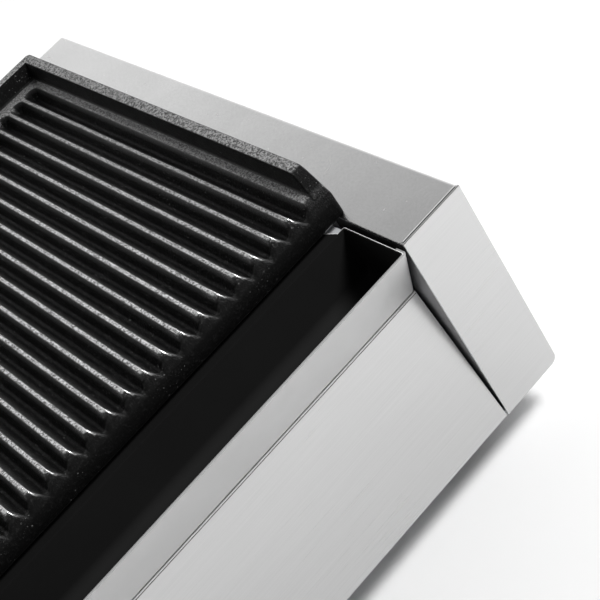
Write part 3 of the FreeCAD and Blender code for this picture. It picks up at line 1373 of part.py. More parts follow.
def export(parts):
    os.makedirs("parts", exist_ok=True)
    for part in parts:
        part.Shape.exportStep(f"parts/{part.Label}.step")


fill_sheet()
assembly = build()
doc.recompute()
check(assembly)
export(assembly)
print(len(assembly), "sub-parts")
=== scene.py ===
import math

import bmesh
import bpy
import numpy as np
from mathutils import Matrix, Vector


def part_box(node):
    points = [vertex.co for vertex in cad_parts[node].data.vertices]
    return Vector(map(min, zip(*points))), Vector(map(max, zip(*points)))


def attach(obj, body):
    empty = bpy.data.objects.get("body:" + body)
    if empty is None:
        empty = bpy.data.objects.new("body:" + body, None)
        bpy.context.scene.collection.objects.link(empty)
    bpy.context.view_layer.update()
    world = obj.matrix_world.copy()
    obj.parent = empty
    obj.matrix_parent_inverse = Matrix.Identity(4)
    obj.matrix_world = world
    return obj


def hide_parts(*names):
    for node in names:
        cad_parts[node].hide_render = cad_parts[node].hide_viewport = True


# The looks of a countertop electric grill: a black cast plate with ribs in a stainless casing,
# a drip tray between its two front arms and a leaning control panel under the tray.
# Lengths are in metres, in the frame's own axes: +X to the user's right, +Y to the back, +Z up.

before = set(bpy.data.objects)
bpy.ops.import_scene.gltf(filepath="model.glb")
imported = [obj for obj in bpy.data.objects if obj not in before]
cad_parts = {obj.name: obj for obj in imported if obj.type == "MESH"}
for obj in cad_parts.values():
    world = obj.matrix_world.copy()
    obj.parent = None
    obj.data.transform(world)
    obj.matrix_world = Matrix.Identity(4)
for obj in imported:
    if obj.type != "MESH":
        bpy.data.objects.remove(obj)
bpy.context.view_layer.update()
MM = 0.001


# ---------------------------------------------------------------- shader nodes

def grey(value):
    return (value, value, value, 1)


class Graph:
    """Short calls for the nodes that the world and the finishes share."""

    def __init__(self, tree):
        self.nodes = tree.nodes
        self.links = tree.links

    def add(self, kind, inputs=(), **settings):
        """A node with its settings and its inputs, each a value or another node's output."""
        node = self.nodes.new(kind)
        for setting, value in settings.items():
            setattr(node, setting, value)
        for socket, value in dict(inputs).items():
            if isinstance(value, bpy.types.NodeSocket):
                self.links.new(value, node.inputs[socket])
            else:
                node.inputs[socket].default_value = value
        return node

    def remap(self, value, low, high, to_low, to_high, smooth=False):
        inputs = {"Value": value, "From Min": low, "From Max": high, "To Min": to_low, "To Max": to_high}
        kind = "SMOOTHSTEP" if smooth else "LINEAR"
        return self.add("ShaderNodeMapRange", inputs, interpolation_type=kind).outputs["Result"]

    def maths(self, operation, first, second=0.0):
        return self.add("ShaderNodeMath", {0: first, 1: second}, operation=operation).outputs[0]


# ---------------------------------------------------------------- camera, light and floor

CAMERA_PLACE = Vector((-0.005694, -0.548717, 0.476174))
CAMERA_RIGHT = Vector((0.66362, -0.59619, -0.45185))
CAMERA_BACK = Vector((-0.23896, -0.74132, 0.62717))
LENS = 91.0
SENSOR = 36.0
FAR = 60.0
FLOOR_HALF = 8.0

# Softboxes: place, target, width, height, power and whether shiny surfaces mirror them.
OVERHEAD = ((0.9, -0.65, 1.2), (0.1, -0.15, 0), 0.5, 0.4, 25, False)
BACK_LIGHT = ((-0.1, 1.3, 1.2), (0, 0.5, 0), 1.5, 1.2, 14, False)
WINDOW = ((1.7, 0.25, 0.75), (0.1, -0.05, 0.12), 0.9, 1.0, 85, True)

# The room's brightness by the sine of the height above the horizon; under it, as at the horizon.
SKY_STOPS = ((0.0, 1.0), (0.49, 1.0), (0.56, 0.72), (0.595, 0.27), (0.66, 0.38), (0.8, 0.22), (1.0, 0.1))
# It fades from BRIGHT_SIDE round to DIM_LEVEL on the other side, by the cosine of the angle between.
BRIGHT_SIDE = Vector((0.62, 0.78, 0)).normalized()
FADE_START, FADE_END = -0.2, 0.6
DIM_LEVEL = 0.14
# The pale band low all round, by the same sine: full up to its first height, gone at its second.
BAND_FULL, BAND_GONE, BAND_LEVEL = 0.30, 0.50, 0.5
SEEN_LEVEL = 0.95


def add_camera():
    """The photograph's close, steep view over the right front corner."""
    back = CAMERA_BACK.normalized()
    right = (CAMERA_RIGHT - CAMERA_RIGHT.dot(back) * back).normalized()
    axes = Matrix((right, back.cross(right), back)).transposed()
    camera = bpy.data.objects.new("camera", bpy.data.cameras.new("camera"))
    camera.matrix_world = Matrix.Translation(CAMERA_PLACE) @ axes.to_4x4()
    camera.data.lens = LENS
    camera.data.sensor_width = SENSOR
    camera.data.clip_start = 0.01
    camera.data.clip_end = FAR
    bpy.context.scene.collection.objects.link(camera)
    bpy.context.scene.camera = camera


def add_area(name, place, target, width, height, power, in_gloss):
    """A softbox at a place, turned to a target. in_gloss says whether shiny surfaces mirror it."""
    data = bpy.data.lights.new(name, "AREA")
    data.shape = "RECTANGLE"
    data.size = width
    data.size_y = height
    data.energy = power
    light = bpy.data.objects.new(name, data)
    light.visible_glossy = in_gloss
    light.location = place
    light.rotation_euler = (Vector(target) - Vector(place)).to_track_quat("-Z", "Y").to_euler()
    bpy.context.scene.collection.objects.link(light)
    return light


def shine_only_on(light, piece):
    """Keeps a light off every piece but one, and leaves that piece only its mirror image."""
    light.visible_diffuse = False
    lit = bpy.data.collections.new(f"lit_by_{light.name}")
    lit.objects.link(piece)
    light.light_linking.receiver_collection = lit


def add_world():
    """A pale room: bright low behind and to the right, dim above, in front and to the left.

    Only mirror images show the pale band low all round, and the camera sees one even level.
    """
    world = bpy.data.worlds.new("studio")
    world.use_nodes = True
    sky = Graph(world.node_tree)
    background = sky.nodes["Background"]
    background.inputs["Color"].default_value = grey(1.0)
    direction = sky.add("ShaderNodeTexCoord").outputs["Generated"]
    height = sky.add("ShaderNodeSeparateXYZ", {0: direction}).outputs["Z"]
    level = sky.add("ShaderNodeValToRGB", {"Fac": height})
    for index, (place, bright) in enumerate(SKY_STOPS):
        stop = level.color_ramp.elements[index] if index < 2 else level.color_ramp.elements.new(place)
        stop.position = place
        stop.color = grey(bright)
    side = sky.add("ShaderNodeVectorMath", {0: direction, 1: BRIGHT_SIDE}, operation="DOT_PRODUCT")
    turned = sky.remap(side.outputs["Value"], FADE_START, FADE_END, 0.0, 1.0, smooth=True)
    glow = sky.maths("MULTIPLY", level.outputs["Color"], turned)
    rays = sky.add("ShaderNodeLightPath").outputs
    band = sky.remap(height, BAND_FULL, BAND_GONE, BAND_LEVEL, 0.0)
    low_band = sky.maths("MULTIPLY", band, rays["Is Glossy Ray"])
    strength = sky.maths("MAXIMUM", sky.remap(glow, 0.0, 1.0, DIM_LEVEL, 1.0), low_band)
    inputs = {"Factor": rays["Is Camera Ray"], "A": strength, "B": SEEN_LEVEL}
    shown = sky.add("ShaderNodeMix", inputs).outputs["Result"]
    sky.links.new(shown, background.inputs["Strength"])
    bpy.context.scene.world = world


def add_floor():
    """A plain pale table top."""
    corners = [(across * FLOOR_HALF, along * FLOOR_HALF, 0)
               for across, along in ((-1, -1), (1, -1), (1, 1), (-1, 1))]
    mesh = bpy.data.meshes.new("floor")
    mesh.from_pydata(corners, [], [(0, 1, 2, 3)])
    floor = bpy.data.objects.new("floor", mesh)
    bpy.context.scene.collection.objects.link(floor)
    look = Finish("table_top", Roughness=0.7, **{"Base Color": grey(0.86)})
    mesh.materials.append(look.material)


# ---------------------------------------------------------------- finishes

class Finish(Graph):
    """One procedural material, whose patterns are fixed to the piece."""

    def __init__(self, name, **sockets):
        self.material = bpy.data.materials.new(name)
        self.material.use_nodes = True
        super().__init__(self.material.node_tree)
        self.shader = self.nodes["Principled BSDF"]
        self.place = self.add("ShaderNodeTexCoord").outputs["Object"]
        for socket, value in sockets.items():
            self.shader.inputs[socket].default_value = value

    def stretched(self, across, along, up):
        inputs = {"Vector": self.place, "Scale": (across, along, up)}
        return self.add("ShaderNodeMapping", inputs).outputs[0]

    def noise(self, scale, detail=2.0, rough=0.5, vector=None):
        place = self.place if vector is None else vector
        inputs = {"Vector": place, "Scale": scale, "Detail": detail, "Roughness": rough}
        return self.add("ShaderNodeTexNoise", inputs).outputs["Fac"]

    def mixed(self, factor, first, second):
        node = self.add("ShaderNodeMix", {"Factor": factor}, data_type="RGBA")
        for socket, value in (("A_Color", first), ("B_Color", second)):
            target = next(item for item in node.inputs if item.identifier == socket)
            if isinstance(value, bpy.types.NodeSocket):
                self.links.new(value, target)
            else:
                target.default_value = value
        return next(item for item in node.outputs if item.identifier == "Result_Color")

    def bump(self, height, distance, strength=1.0, normal=None):
        inputs = {"Height": height, "Distance": distance, "Strength": strength}
        if normal is not None:
            inputs["Normal"] = normal
        return self.add("ShaderNodeBump", inputs).outputs[0]

    def drive(self, **outputs):
        """Feeds the shader's inputs and hands back the finished material."""
        for socket, output in outputs.items():
            self.links.new(output, self.shader.inputs[socket.replace("_", " ")])
        return self.material


def mottled(name, tone, rough, metal, scale):
    """A plain finish whose tone, gloss and surface all vary a little."""
    look = Finish(name, Metallic=metal)
    patches = look.noise(scale, 5, 0.6)
    fine = look.noise(scale * 30, 2)
    darker = tuple(part * 0.82 for part in tone)
    return look.drive(
        Base_Color=look.mixed(patches, (*darker, 1), (*tone, 1)),
        Roughness=look.remap(patches, 0.3, 0.7, rough - 0.06, rough + 0.06),
        Normal=look.bump(fine, 0.01 * MM, 0.6),
    )


def crest_wear(look, crest, high, across, facing, grit):
    """Where a crest's flat is bare dull metal from wear, broken by the grit, with less of it towards the
    right guard as painted shade.
    """
    on_crest = look.remap(high, crest - 0.55 * MM, crest, 0.0, 1.0, smooth=True)
    flat = look.remap(facing, 0.88, 1.0, 0.0, 1.0, smooth=True)
    metal_share = look.maths("MULTIPLY", on_crest, flat)
    metal_share = look.maths("MULTIPLY", metal_share, look.remap(grit, 0.42, 0.58, 0.05, 1.0))
    # Fading the metal towards the right guard paints the shade that dims the crests there.
    return look.maths("MULTIPLY", metal_share, look.remap(across, 0.10, 0.16, 0.85, 0.3))


def rib_nose(look, crest, high, across, along, dull):
    """Where the ribs' front ends are polished, as far as the right guard; this also marks where the glint
    is painted (see cast_black).
    """
    nose = look.remap(along, CREST_FRONT + NOSE_LENGTH, CREST_FRONT, 0.0, 1.0, smooth=True)
    nose = look.maths("MULTIPLY", nose, look.remap(high, crest - 2.6 * MM, crest - 0.9 * MM, 0.0, 1.0))
    nose = look.maths("SUBTRACT", nose, look.maths("MULTIPLY", nose, dull))
    return look.maths("MULTIPLY", nose, look.remap(across, *NOSE_END, 1.0, 0.0))


def cast_black(crest):
    """Seasoned cast iron with a coarse sparkling skin and crests of dull bare metal from wear; its colour
    also holds painted shade in the grooves and near the right guard, painted sparkle specks and painted
    glints at the rib ends.
    """
    look = Finish("cast_black", IOR=1.5)
    peel = look.noise(1500, 3, 0.6)
    grit = look.noise(1150, 3, 0.7)
    patches = look.noise(70, 4, 0.6)
    across, along, high = look.add("ShaderNodeSeparateXYZ", {0: look.place}).outputs
    normal = look.add("ShaderNodeNewGeometry").outputs["Normal"]
    aside, _, facing = look.add("ShaderNodeSeparateXYZ", {0: normal}).outputs
    # Deeper in the grooves the skin is painted darker and its gloss lowered: painted shade.
    depth = look.remap(high, crest - 0.5 * MM, crest - 2.0 * MM, 0.0, 1.0)
    front = look.remap(along, CREST_FRONT - 1.2 * MM, CREST_FRONT - 2.6 * MM, 0.0, 1.0)
    shade = look.maths("SUBTRACT", depth, look.maths("MULTIPLY", depth, front))
    guard = look.remap(high, crest + 0.4 * MM, crest + 1.2 * MM, 0.0, 1.0)
    outer = look.maths("MAXIMUM", guard, look.remap(aside, 0.3, 0.6, 0.0, 1.0))
    dull = look.maths("MAXIMUM", look.maths("MAXIMUM", shade, outer), front)
    nose = rib_nose(look, crest, high, across, along, dull)
    rough = look.remap(patches, 0.3, 0.7, 0.34, 0.44)
    gloss = look.maths("SUBTRACT", 0.4, look.maths("MULTIPLY", dull, 0.34))
    # A painted glint: near-white metal on the right-facing sides of the ribs' front ends, where the
    # window's light catches them.
    glint = look.maths("MULTIPLY", nose, look.remap(aside, 0.12, 0.3, 0.0, 1.0))
    # The metal share: crest wear with its painted shade, and the painted glint.
    metal_share = look.maths("MAXIMUM", crest_wear(look, crest, high, across, facing, grit), glint)
    # Light grey specks over the skin: painted sparkle, standing in for glints off the grain.
    speck = look.maths("GREATER_THAN", look.noise(1700, 0), 0.81)
    speck = look.maths("MULTIPLY", speck, look.maths("GREATER_THAN", look.noise(60, 2), 0.52))
    # Painted shade: the skin goes almost black deep in the grooves.
    skin = look.mixed(shade, look.mixed(patches, grey(0.006), grey(0.011)), grey(0.002))
    skin = look.mixed(look.maths("MAXIMUM", front, guard), skin, grey(0.007))
    skin = look.mixed(look.remap(grit, 0.56, 0.66, 0.0, 1.0), skin, grey(0.02))
    return look.drive(
        Base_Color=look.mixed(speck, look.mixed(metal_share, skin, grey(0.85)), grey(0.18)),
        Metallic=metal_share,
        Roughness=look.maths("SUBTRACT", rough, look.maths("MULTIPLY", nose, 0.2)),
        Specular_IOR_Level=look.maths("ADD", gloss, look.maths("MULTIPLY", nose, 0.6)),
        Normal=look.bump(peel, 0.2 * MM, 1.0, look.bump(grit, 0.24 * MM, 0.9)),
    )


def brushed_steel():
    """Stainless sheet brushed along X."""
    look = Finish("brushed_steel", Metallic=1.0)
    lines = look.noise(1.0, 3, 0.65, look.stretched(25, 2600, 2600))
    cloud = look.noise(9, 3)
    tone = look.remap(lines, 0.3, 0.7, 0.57, 0.62)
    rough = look.remap(cloud, 0.3, 0.7, 0.27, 0.33)
    return look.drive(
        Base_Color=look.mixed(tone, grey(0.0), grey(1.0)),
        Roughness=look.maths("ADD", rough, look.remap(lines, 0.3, 0.7, -0.04, 0.04)),
        Normal=look.bump(lines, 0.006 * MM, 0.6),
    )


def mill_steel():
    """The casing's smoother sheet: faint mottling, a few hairline scratches and specks of dust."""
    look = Finish("mill_steel", Metallic=1.0)
    mottle = look.noise(900, 2, 0.6)
    cloud = look.noise(14, 3, 0.5)
    where = look.noise(35, 2)
    line = look.maths("ABSOLUTE", look.maths("SUBTRACT", look.noise(60, 1), 0.5))
    hair = look.maths("LESS_THAN", line, 0.0022)
    scratch = look.maths("MULTIPLY", hair, look.maths("GREATER_THAN", where, 0.67))
    dust = look.maths("GREATER_THAN", look.noise(650, 0), 0.845)
    marks = look.maths("MAXIMUM", scratch, dust)
    tone = look.mixed(look.remap(mottle, 0.3, 0.7, 0.68, 0.73), grey(0.0), grey(1.0))
    rough = look.remap(cloud, 0.3, 0.7, 0.19, 0.29)
    return look.drive(
        Base_Color=look.mixed(marks, tone, grey(0.95)),
        Roughness=look.maths("ADD", rough, look.maths("MULTIPLY", marks, 0.3)),
        Normal=look.bump(mottle, 0.004 * MM, 0.7, look.bump(cloud, 0.9 * MM, 0.35)),
    )


def enamel_black(name, strength):
    """The drip tray's satin black enamel, a little uneven; darker where its strength is less, which paints
    shade on enamel lying in shadow.
    """
    look = Finish(name, IOR=1.5, **{"Specular IOR Level": 0.08 * strength})
    patches = look.noise(22, 4, 0.6)
    fine = look.noise(1400, 2)
    return look.drive(
        Base_Color=look.mixed(patches, grey(0.012 * strength), grey(0.018 * strength)),
        Roughness=look.remap(patches, 0.3, 0.7, 0.5, 0.62),
        Normal=look.bump(fine, 0.012 * MM, 0.6),
    )


def lens_finish(name, tone):
    """A tinted pilot-lamp lens that lets some light through."""
    look = Finish(name, Roughness=0.12, IOR=1.49, **{"Transmission Weight": 0.45})
    rings = look.noise(500, 1)
    darker = tuple(part * 0.7 for part in tone)
    return look.drive(Base_Color=look.mixed(rings, (*darker, 1), (*tone, 1)))


# Each plain finish: its tone, roughness, metallic share and how fine its mottling is.
MOTTLED = {
    "zinc_sheet": ((0.62, 0.63, 0.65), 0.5, 0.3, 45),
    "dull_steel": ((0.32, 0.32, 0.33), 0.5, 1.0, 45),
    "satin_steel": ((0.7, 0.7, 0.7), 0.45, 0.75, 25),
    # A near-white edge finish: bare metal at the edges, its lightness also a painted highlight along them.
    "bare_edge": ((0.84, 0.84, 0.84), 0.5, 0.2, 300),
    "fibre": ((0.78, 0.76, 0.7), 0.93, 0.0, 150),
    "element_sheath": ((0.22, 0.21, 0.2), 0.5, 1.0, 80),
    "zinc_fastener": ((0.66, 0.66, 0.64), 0.3, 1.0, 300),
    "brass_fitting": ((0.72, 0.55, 0.26), 0.3, 1.0, 200),
    "copper_lead": ((0.7, 0.36, 0.22), 0.3, 1.0, 200),
    "black_plastic": ((0.022, 0.022, 0.023), 0.45, 0.0, 300),
    "gloss_black": ((0.014, 0.014, 0.015), 0.18, 0.0, 200),
    "dial_plate": ((0.74, 0.74, 0.74), 0.33, 1.0, 120),
    "regulator": ((0.3, 0.22, 0.15), 0.5, 0.0, 120),
    "red_button": ((0.6, 0.03, 0.02), 0.25, 0.0, 200),
    "ceramic_white": ((0.85, 0.84, 0.8), 0.4, 0.0, 90),
    "wire_sleeve": ((0.65, 0.1, 0.08), 0.5, 0.0, 200),
    "foot_rubber": ((0.03, 0.03, 0.03), 0.72, 0.0, 250),
    "white_print": ((0.85, 0.85, 0.84), 0.5, 0.0, 400),
    "black_print": ((0.02, 0.02, 0.02), 0.5, 0.0, 400),
}


def make_finishes():
    looks = {name: mottled(name, *settings) for name, settings in MOTTLED.items()}
    looks["stainless"] = brushed_steel()
    looks["mill"] = mill_steel()
    looks["cast_plate"] = cast_black(CREST)
    looks["enamel"] = enamel_black("enamel_black", 1.0)
    # A darker copy of the enamel for the lip and the rear rim under the plate: painted shade.
    looks["lip_enamel"] = enamel_black("enamel_shaded", 0.55)
    looks["green_lens"] = lens_finish("green_lens", (0.05, 0.5, 0.14))
    looks["amber_lens"] = lens_finish("amber_lens", (0.9, 0.34, 0.03))
    return looks


# ---------------------------------------------------------------- mesh helpers

def add_mesh(name, points, faces, body, material, stands_for=(), smooth_angle=35):
    """A piece of the object from its vertices and faces, riding on a body."""
    mesh = bpy.data.meshes.new(name)
    mesh.from_pydata([tuple(point) for point in points], [], faces)
    work = bmesh.new()
    work.from_mesh(mesh)
    bmesh.ops.recalc_face_normals(work, faces=work.faces)
    work.to_mesh(mesh)
    work.free()
    mesh.polygons.foreach_set("use_smooth", [True] * len(mesh.polygons))
    mesh.set_sharp_from_angle(angle=math.radians(smooth_angle))
    mesh.materials.append(material)
    piece = bpy.data.objects.new(name, mesh)
    bpy.context.scene.collection.objects.link(piece)
    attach(piece, body)
    if stands_for:
        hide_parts(*stands_for)
    return piece


def grid_faces(rows, columns, first=0, closed=False):
    """Quads between rows of vertices, each row of the same length."""
    faces = []
    wrap = columns if closed else columns - 1
    for row in range(rows - 1):
        here = first + row * columns
        above = here + columns
        for column in range(wrap):
            following = (column + 1) % columns
            faces.append((here + column, here + following, above + following, above + column))
    return faces


def rounded_strip(start, end, spot, sides):
    """Points and faces of a bar from one place across the grill to another, with a round section."""
    points = [spot(x, angle) for x in (start, end)
              for angle in np.linspace(0, 2 * math.pi, sides, endpoint=False)]
    ends = [tuple(range(sides)), tuple(range(2 * sides - 1, sides - 1, -1))]
    return points, grid_faces(2, sides, closed=True) + ends


# ---------------------------------------------------------------- cooking plate

PLATE_LOW, PLATE_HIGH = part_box("grill_plate")
PITCH = 10 * MM
RIBS = 31
GUARD_RISE = 8.65 * MM
CREST = PLATE_HIGH.z - GUARD_RISE
CREST_FRONT = PLATE_LOW.y + 5.47 * MM
# The front slope's lower end (y, z), and where the guards' level tops begin.
KNEE = (CREST_FRONT - 4.7 * MM, CREST - 5.2 * MM)
GUARD_FRONT = CREST_FRONT + 7.84 * MM
NOSE_LENGTH = 12 * MM
NOSE_END = (151.5 * MM, 152.5 * MM)
GUARD_WIDTH = 5.4 * MM
GUARD_DRAFT = math.radians(10)
GUARD_FOOT = GUARD_WIDTH + GUARD_RISE * math.tan(GUARD_DRAFT)
GROOVE_END = PLATE_HIGH.y - GUARD_FOOT - 10 * MM
GROOVE_DEPTH = 4.6 * MM
ROOT_RADIUS = 1.3 * MM
LIP_RADIUS = 1.3 * MM
GROOVE_HALF = 4.7 * MM
CORNER = 2.5 * MM
CAST_EDGE = 0.7 * MM
GUARD_ROOT = 2.2 * MM
GUARD_CREST = 1.2 * MM
# The rings under the plate's edge: height over the plate's foot and how far they are drawn in.
SKIRT = ((0.5 * MM, 0.0), (0.0, 0.4 * MM), (0.0, 8 * MM), (2 * MM, 8 * MM))
# Distances from a groove's middle at which its curve is sampled, up to the crest's edge.
GROOVE_SAMPLES = np.array([0, 0.5, 0.85, 1.1, 1.9, 2.8, 3.6, 3.78, 3.98, 4.2, 4.45, 4.72]) * MM


def smooth_low(first, second, size):
    """The lower of two heights, rounded where they meet."""
    overlap = np.clip(size - np.abs(first - second), 0, None)
    return np.minimum(first, second) - overlap ** 2 / (4 * size)


def smooth_high(first, second, size):
    return -smooth_low(-first, -second, size)


def groove_height(away):
    """Height under the crests at a distance from a groove's middle: round root, flank, round lip."""
    drop = GROOVE_DEPTH - ROOT_RADIUS - LIP_RADIUS
    steep = math.asin((LIP_RADIUS + ROOT_RADIUS) / math.hypot(GROOVE_HALF, drop))
    steep += math.atan2(drop, GROOVE_HALF)
    root_end = ROOT_RADIUS * math.sin(steep)
    lip_start = GROOVE_HALF - LIP_RADIUS * math.sin(steep)
    root = ROOT_RADIUS - GROOVE_DEPTH - np.sqrt(np.clip(ROOT_RADIUS ** 2 - away ** 2, 0, None))
    flank = -GROOVE_DEPTH + ROOT_RADIUS * (1 - math.cos(steep)) + (away - root_end) * math.tan(steep)
    lip = -LIP_RADIUS + np.sqrt(np.clip(LIP_RADIUS ** 2 - (GROOVE_HALF - away) ** 2, 0, None))
    height = np.where(away < root_end, root, np.where(away < lip_start, flank, lip))
    return np.where(away > GROOVE_HALF, 0.0, height)


def inside_distance(x, y, front, rear, half, corner):
    """How far a plan point lies inside a rectangle with rounded corners."""
    middle = (front + rear) / 2
    over_x = np.abs(x) - (half - corner)
    over_y = np.abs(y - middle) - ((rear - front) / 2 - corner)
    outside = np.hypot(np.clip(over_x, 0, None), np.clip(over_y, 0, None))
    return corner - outside - np.minimum(np.maximum(over_x, over_y), 0)


def plate_height(x, y):
    """The plate's upper surface over a plan point."""
    groove = np.abs((x / PITCH) % 1.0 - 0.5) * PITCH
    beyond = np.clip(y - GROOVE_END, 0, None)
    away = np.hypot(groove, beyond)
    ribs = CREST + np.where(np.abs(x) < (RIBS + 1) / 2 * PITCH, groove_height(away), 0.0)
    half = PLATE_HIGH.x
    run_x = np.abs(x) - (half - GUARD_WIDTH)
    run_y = y - (PLATE_HIGH.y - GUARD_WIDTH)
    guard = PLATE_HIGH.z + np.maximum(run_x, run_y) / math.tan(GUARD_DRAFT)
    surface = smooth_high(ribs, guard, GUARD_ROOT)
    surface = smooth_low(surface, np.full_like(surface, PLATE_HIGH.z), GUARD_CREST)
    rise = (PLATE_HIGH.z - KNEE[1]) / (GUARD_FRONT - KNEE[0])
    slope = KNEE[1] + (y - KNEE[0]) * rise
    surface = smooth_low(surface, slope, GUARD_ROOT)
    inside = inside_distance(x, y, KNEE[0], PLATE_HIGH.y, half, CORNER)
    short = np.clip(CAST_EDGE - inside, 0, CAST_EDGE)
    return surface - (CAST_EDGE - np.sqrt(CAST_EDGE ** 2 - short ** 2))


def rounded_plan(x, y, front, rear, half, corner):
    """Plan points of a square grid, with the corners of its edge drawn in to arcs."""
    middle = (front + rear) / 2
    over_x = np.clip(np.abs(x) - (half - corner), 0, None) / corner
    over_y = np.clip(np.abs(y - middle) - ((rear - front) / 2 - corner), 0, None) / corner
    new_x = over_x * np.sqrt(1 - over_y ** 2 / 2)
    new_y = over_y * np.sqrt(1 - over_x ** 2 / 2)
    x = x + np.sign(x) * (new_x - over_x) * corner
    y = y + np.sign(y - middle) * (new_y - over_y) * corner
    return x, y


def plate_columns():
    """Places across the plate, close together on the rib flanks and the guards."""
    unit = np.concatenate([-GROOVE_SAMPLES[:0:-1], GROOVE_SAMPLES])
    middles = (np.arange(RIBS + 1) - RIBS / 2) * PITCH
    ribs = (middles[:, None] + unit[None, :]).ravel()
    edge = (RIBS + 1) / 2 * PITCH
    foot = PLATE_HIGH.x - GUARD_FOOT
    guard = np.concatenate([
        [edge, edge + 1.4 * MM, foot - 1.4 * MM],
        np.linspace(foot - 0.8 * MM, foot + 2.8 * MM, 16),
        np.linspace(foot + 3.6 * MM, PLATE_HIGH.x - CORNER, 3),
        PLATE_HIGH.x - CORNER * (1 - np.sin(np.linspace(0.15, 1, 9) * math.pi / 2)),
    ])
    return np.concatenate([-guard[::-1], ribs, guard])


def plate_rows():
    """Places along the plate, close together at its front slope and where the grooves end."""
    rear_foot = PLATE_HIGH.y - GUARD_FOOT
    return np.concatenate([
        KNEE[0] + CORNER * (1 - np.cos(np.linspace(0, 0.9, 8) * math.pi / 2)),
        np.linspace(KNEE[0] + CORNER, GUARD_FRONT + 1.6 * MM, 40),
        np.linspace(GUARD_FRONT + 4 * MM, GROOVE_END - 3 * MM, 12),
        np.linspace(GROOVE_END, GROOVE_END + 5.2 * MM, 16),
        np.linspace(GROOVE_END + 7 * MM, rear_foot - 1.4 * MM, 3),
        np.linspace(rear_foot - 0.8 * MM, rear_foot + 2.8 * MM, 14),
        PLATE_HIGH.y - CORNER * (1 - np.sin(np.linspace(0, 1, 10) * math.pi / 2)),
    ])


def grid_rim(rows, columns):
    """The vertex numbers round the edge of a grid, anticlockwise from its first."""
    front = list(range(columns))
    right = [row * columns + columns - 1 for row in range(1, rows)]
    back = [(rows - 1) * columns + column for column in range(columns - 2, -1, -1)]
    left = [row * columns for row in range(rows - 2, 0, -1)]
    return front + right + back + left


def ribbed_plate(material):
    """The cast plate: ribs, a sloping front, a guard on three sides and a skirt."""
    columns, rows = plate_columns(), plate_rows()
    x, y = np.meshgrid(columns, rows)
    x, y = rounded_plan(x, y, KNEE[0], PLATE_HIGH.y, PLATE_HIGH.x, CORNER)
    top = np.stack([x, y, plate_height(x, y)], axis=-1).reshape(-1, 3)
    faces = grid_faces(len(rows), len(columns))
    rim = grid_rim(len(rows), len(columns))
    edge = top[rim]
    front_share = np.clip((KNEE[0] + CORNER - edge[:, 1]) / CORNER, 0, 1)
    middle = (PLATE_LOW.y + PLATE_HIGH.y) / 2
    rings = []
    for height, inset in SKIRT:
        ring = edge.copy()
        ring[:, 0] *= (PLATE_HIGH.x - inset) / PLATE_HIGH.x
        ring[:, 1] -= front_share * (KNEE[0] - PLATE_LOW.y)
        ring[:, 1] = middle + (ring[:, 1] - middle) * (1 - inset / (PLATE_HIGH.y - middle))
        ring[:, 2] = PLATE_LOW.z + height
        rings.append(ring)
    count = len(rim)
    start = len(top)
    faces += [(rim[i], start + i, start + (i + 1) % count, rim[(i + 1) % count]) for i in range(count)]
    faces += [tuple(reversed(face)) for face in grid_faces(len(rings), count, start, closed=True)]
    last = start + (len(rings) - 1) * count
    faces.append(tuple(range(last + count - 1, last - 1, -1)))
    points = np.concatenate([top] + rings)
    return add_mesh("ribbed_plate", points, faces, "chassis", material,
                    ["grill_plate"], smooth_angle=50)


# ---------------------------------------------------------------- sheet metal

EDGE_BREAK = 0.2 * MM
SHARP_ANGLE = math.radians(40)
# The arms' cut edge: its radius, and its middle behind the casing's front and under its top.
CUT_EDGE = 0.3 * MM
CUT_CENTRE = (0.32 * MM, 0.27 * MM)


def softened(node_name, body, material):
    """A CAD sheet with its sharp edges broken, in place of the CAD one."""
    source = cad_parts[node_name]
    work = bmesh.new()
    work.from_mesh(source.data)
    work.transform(source.matrix_world)
    bmesh.ops.remove_doubles(work, verts=work.verts, dist=0.001 * MM)
    bmesh.ops.dissolve_limit(work, angle_limit=math.radians(0.5), verts=work.verts, edges=work.edges)
    sharp = [edge for edge in work.edges
             if len(edge.link_faces) == 2 and edge.calc_face_angle() > SHARP_ANGLE]
    bmesh.ops.bevel(work, geom=sharp, offset=EDGE_BREAK, segments=2, profile=0.5, affect="EDGES")
    mesh = bpy.data.meshes.new(f"soft_{node_name}")
    work.to_mesh(mesh)
    work.free()
    mesh.materials.clear()
    mesh.materials.append(material)
    mesh.polygons.foreach_set("material_index", [0] * len(mesh.polygons))
    mesh.polygons.foreach_set("use_smooth", [True] * len(mesh.polygons))
    piece = bpy.data.objects.new(f"soft_{node_name}", mesh)
    bpy.context.scene.collection.objects.link(piece)
    weighted = piece.modifiers.new("weighted_normals", "WEIGHTED_NORMAL")
    weighted.keep_sharp = True
    weighted.mode = "FACE_AREA"
    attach(piece, body)
    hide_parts(node_name)


def arm_edges(material):
    """The deck sheet's bare cut edge along the front of each arm, in a near-white finish that also paints
    the edge's highlight.
    """
    low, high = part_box("top_casing")
    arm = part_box("right_arm_cheek")[0].x

    def spot(x, angle):
        return (x, low.y + CUT_CENTRE[0] + CUT_EDGE * math.cos(angle),
                high.z - CUT_CENTRE[1] + CUT_EDGE * math.sin(angle))

    inner, outer = arm + 0.6 * MM, high.x - 0.4 * MM
    for side, start, end in (("right", inner, outer), ("left", -outer, -inner)):
        points, faces = rounded_strip(start, end, spot, 12)
        add_mesh(f"arm_edge_{side}", points, faces, "chassis", material, smooth_angle=60)


# ---------------------------------------------------------------- control panel

PANEL_LOW, PANEL_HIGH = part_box("front_panel")
PANEL_LEAN = math.radians(9.14)
PANEL_FOOT_Y = -153.5 * MM
PANEL_TOP_S = (PANEL_HIGH.z - PANEL_LOW.z) / math.cos(PANEL_LEAN)


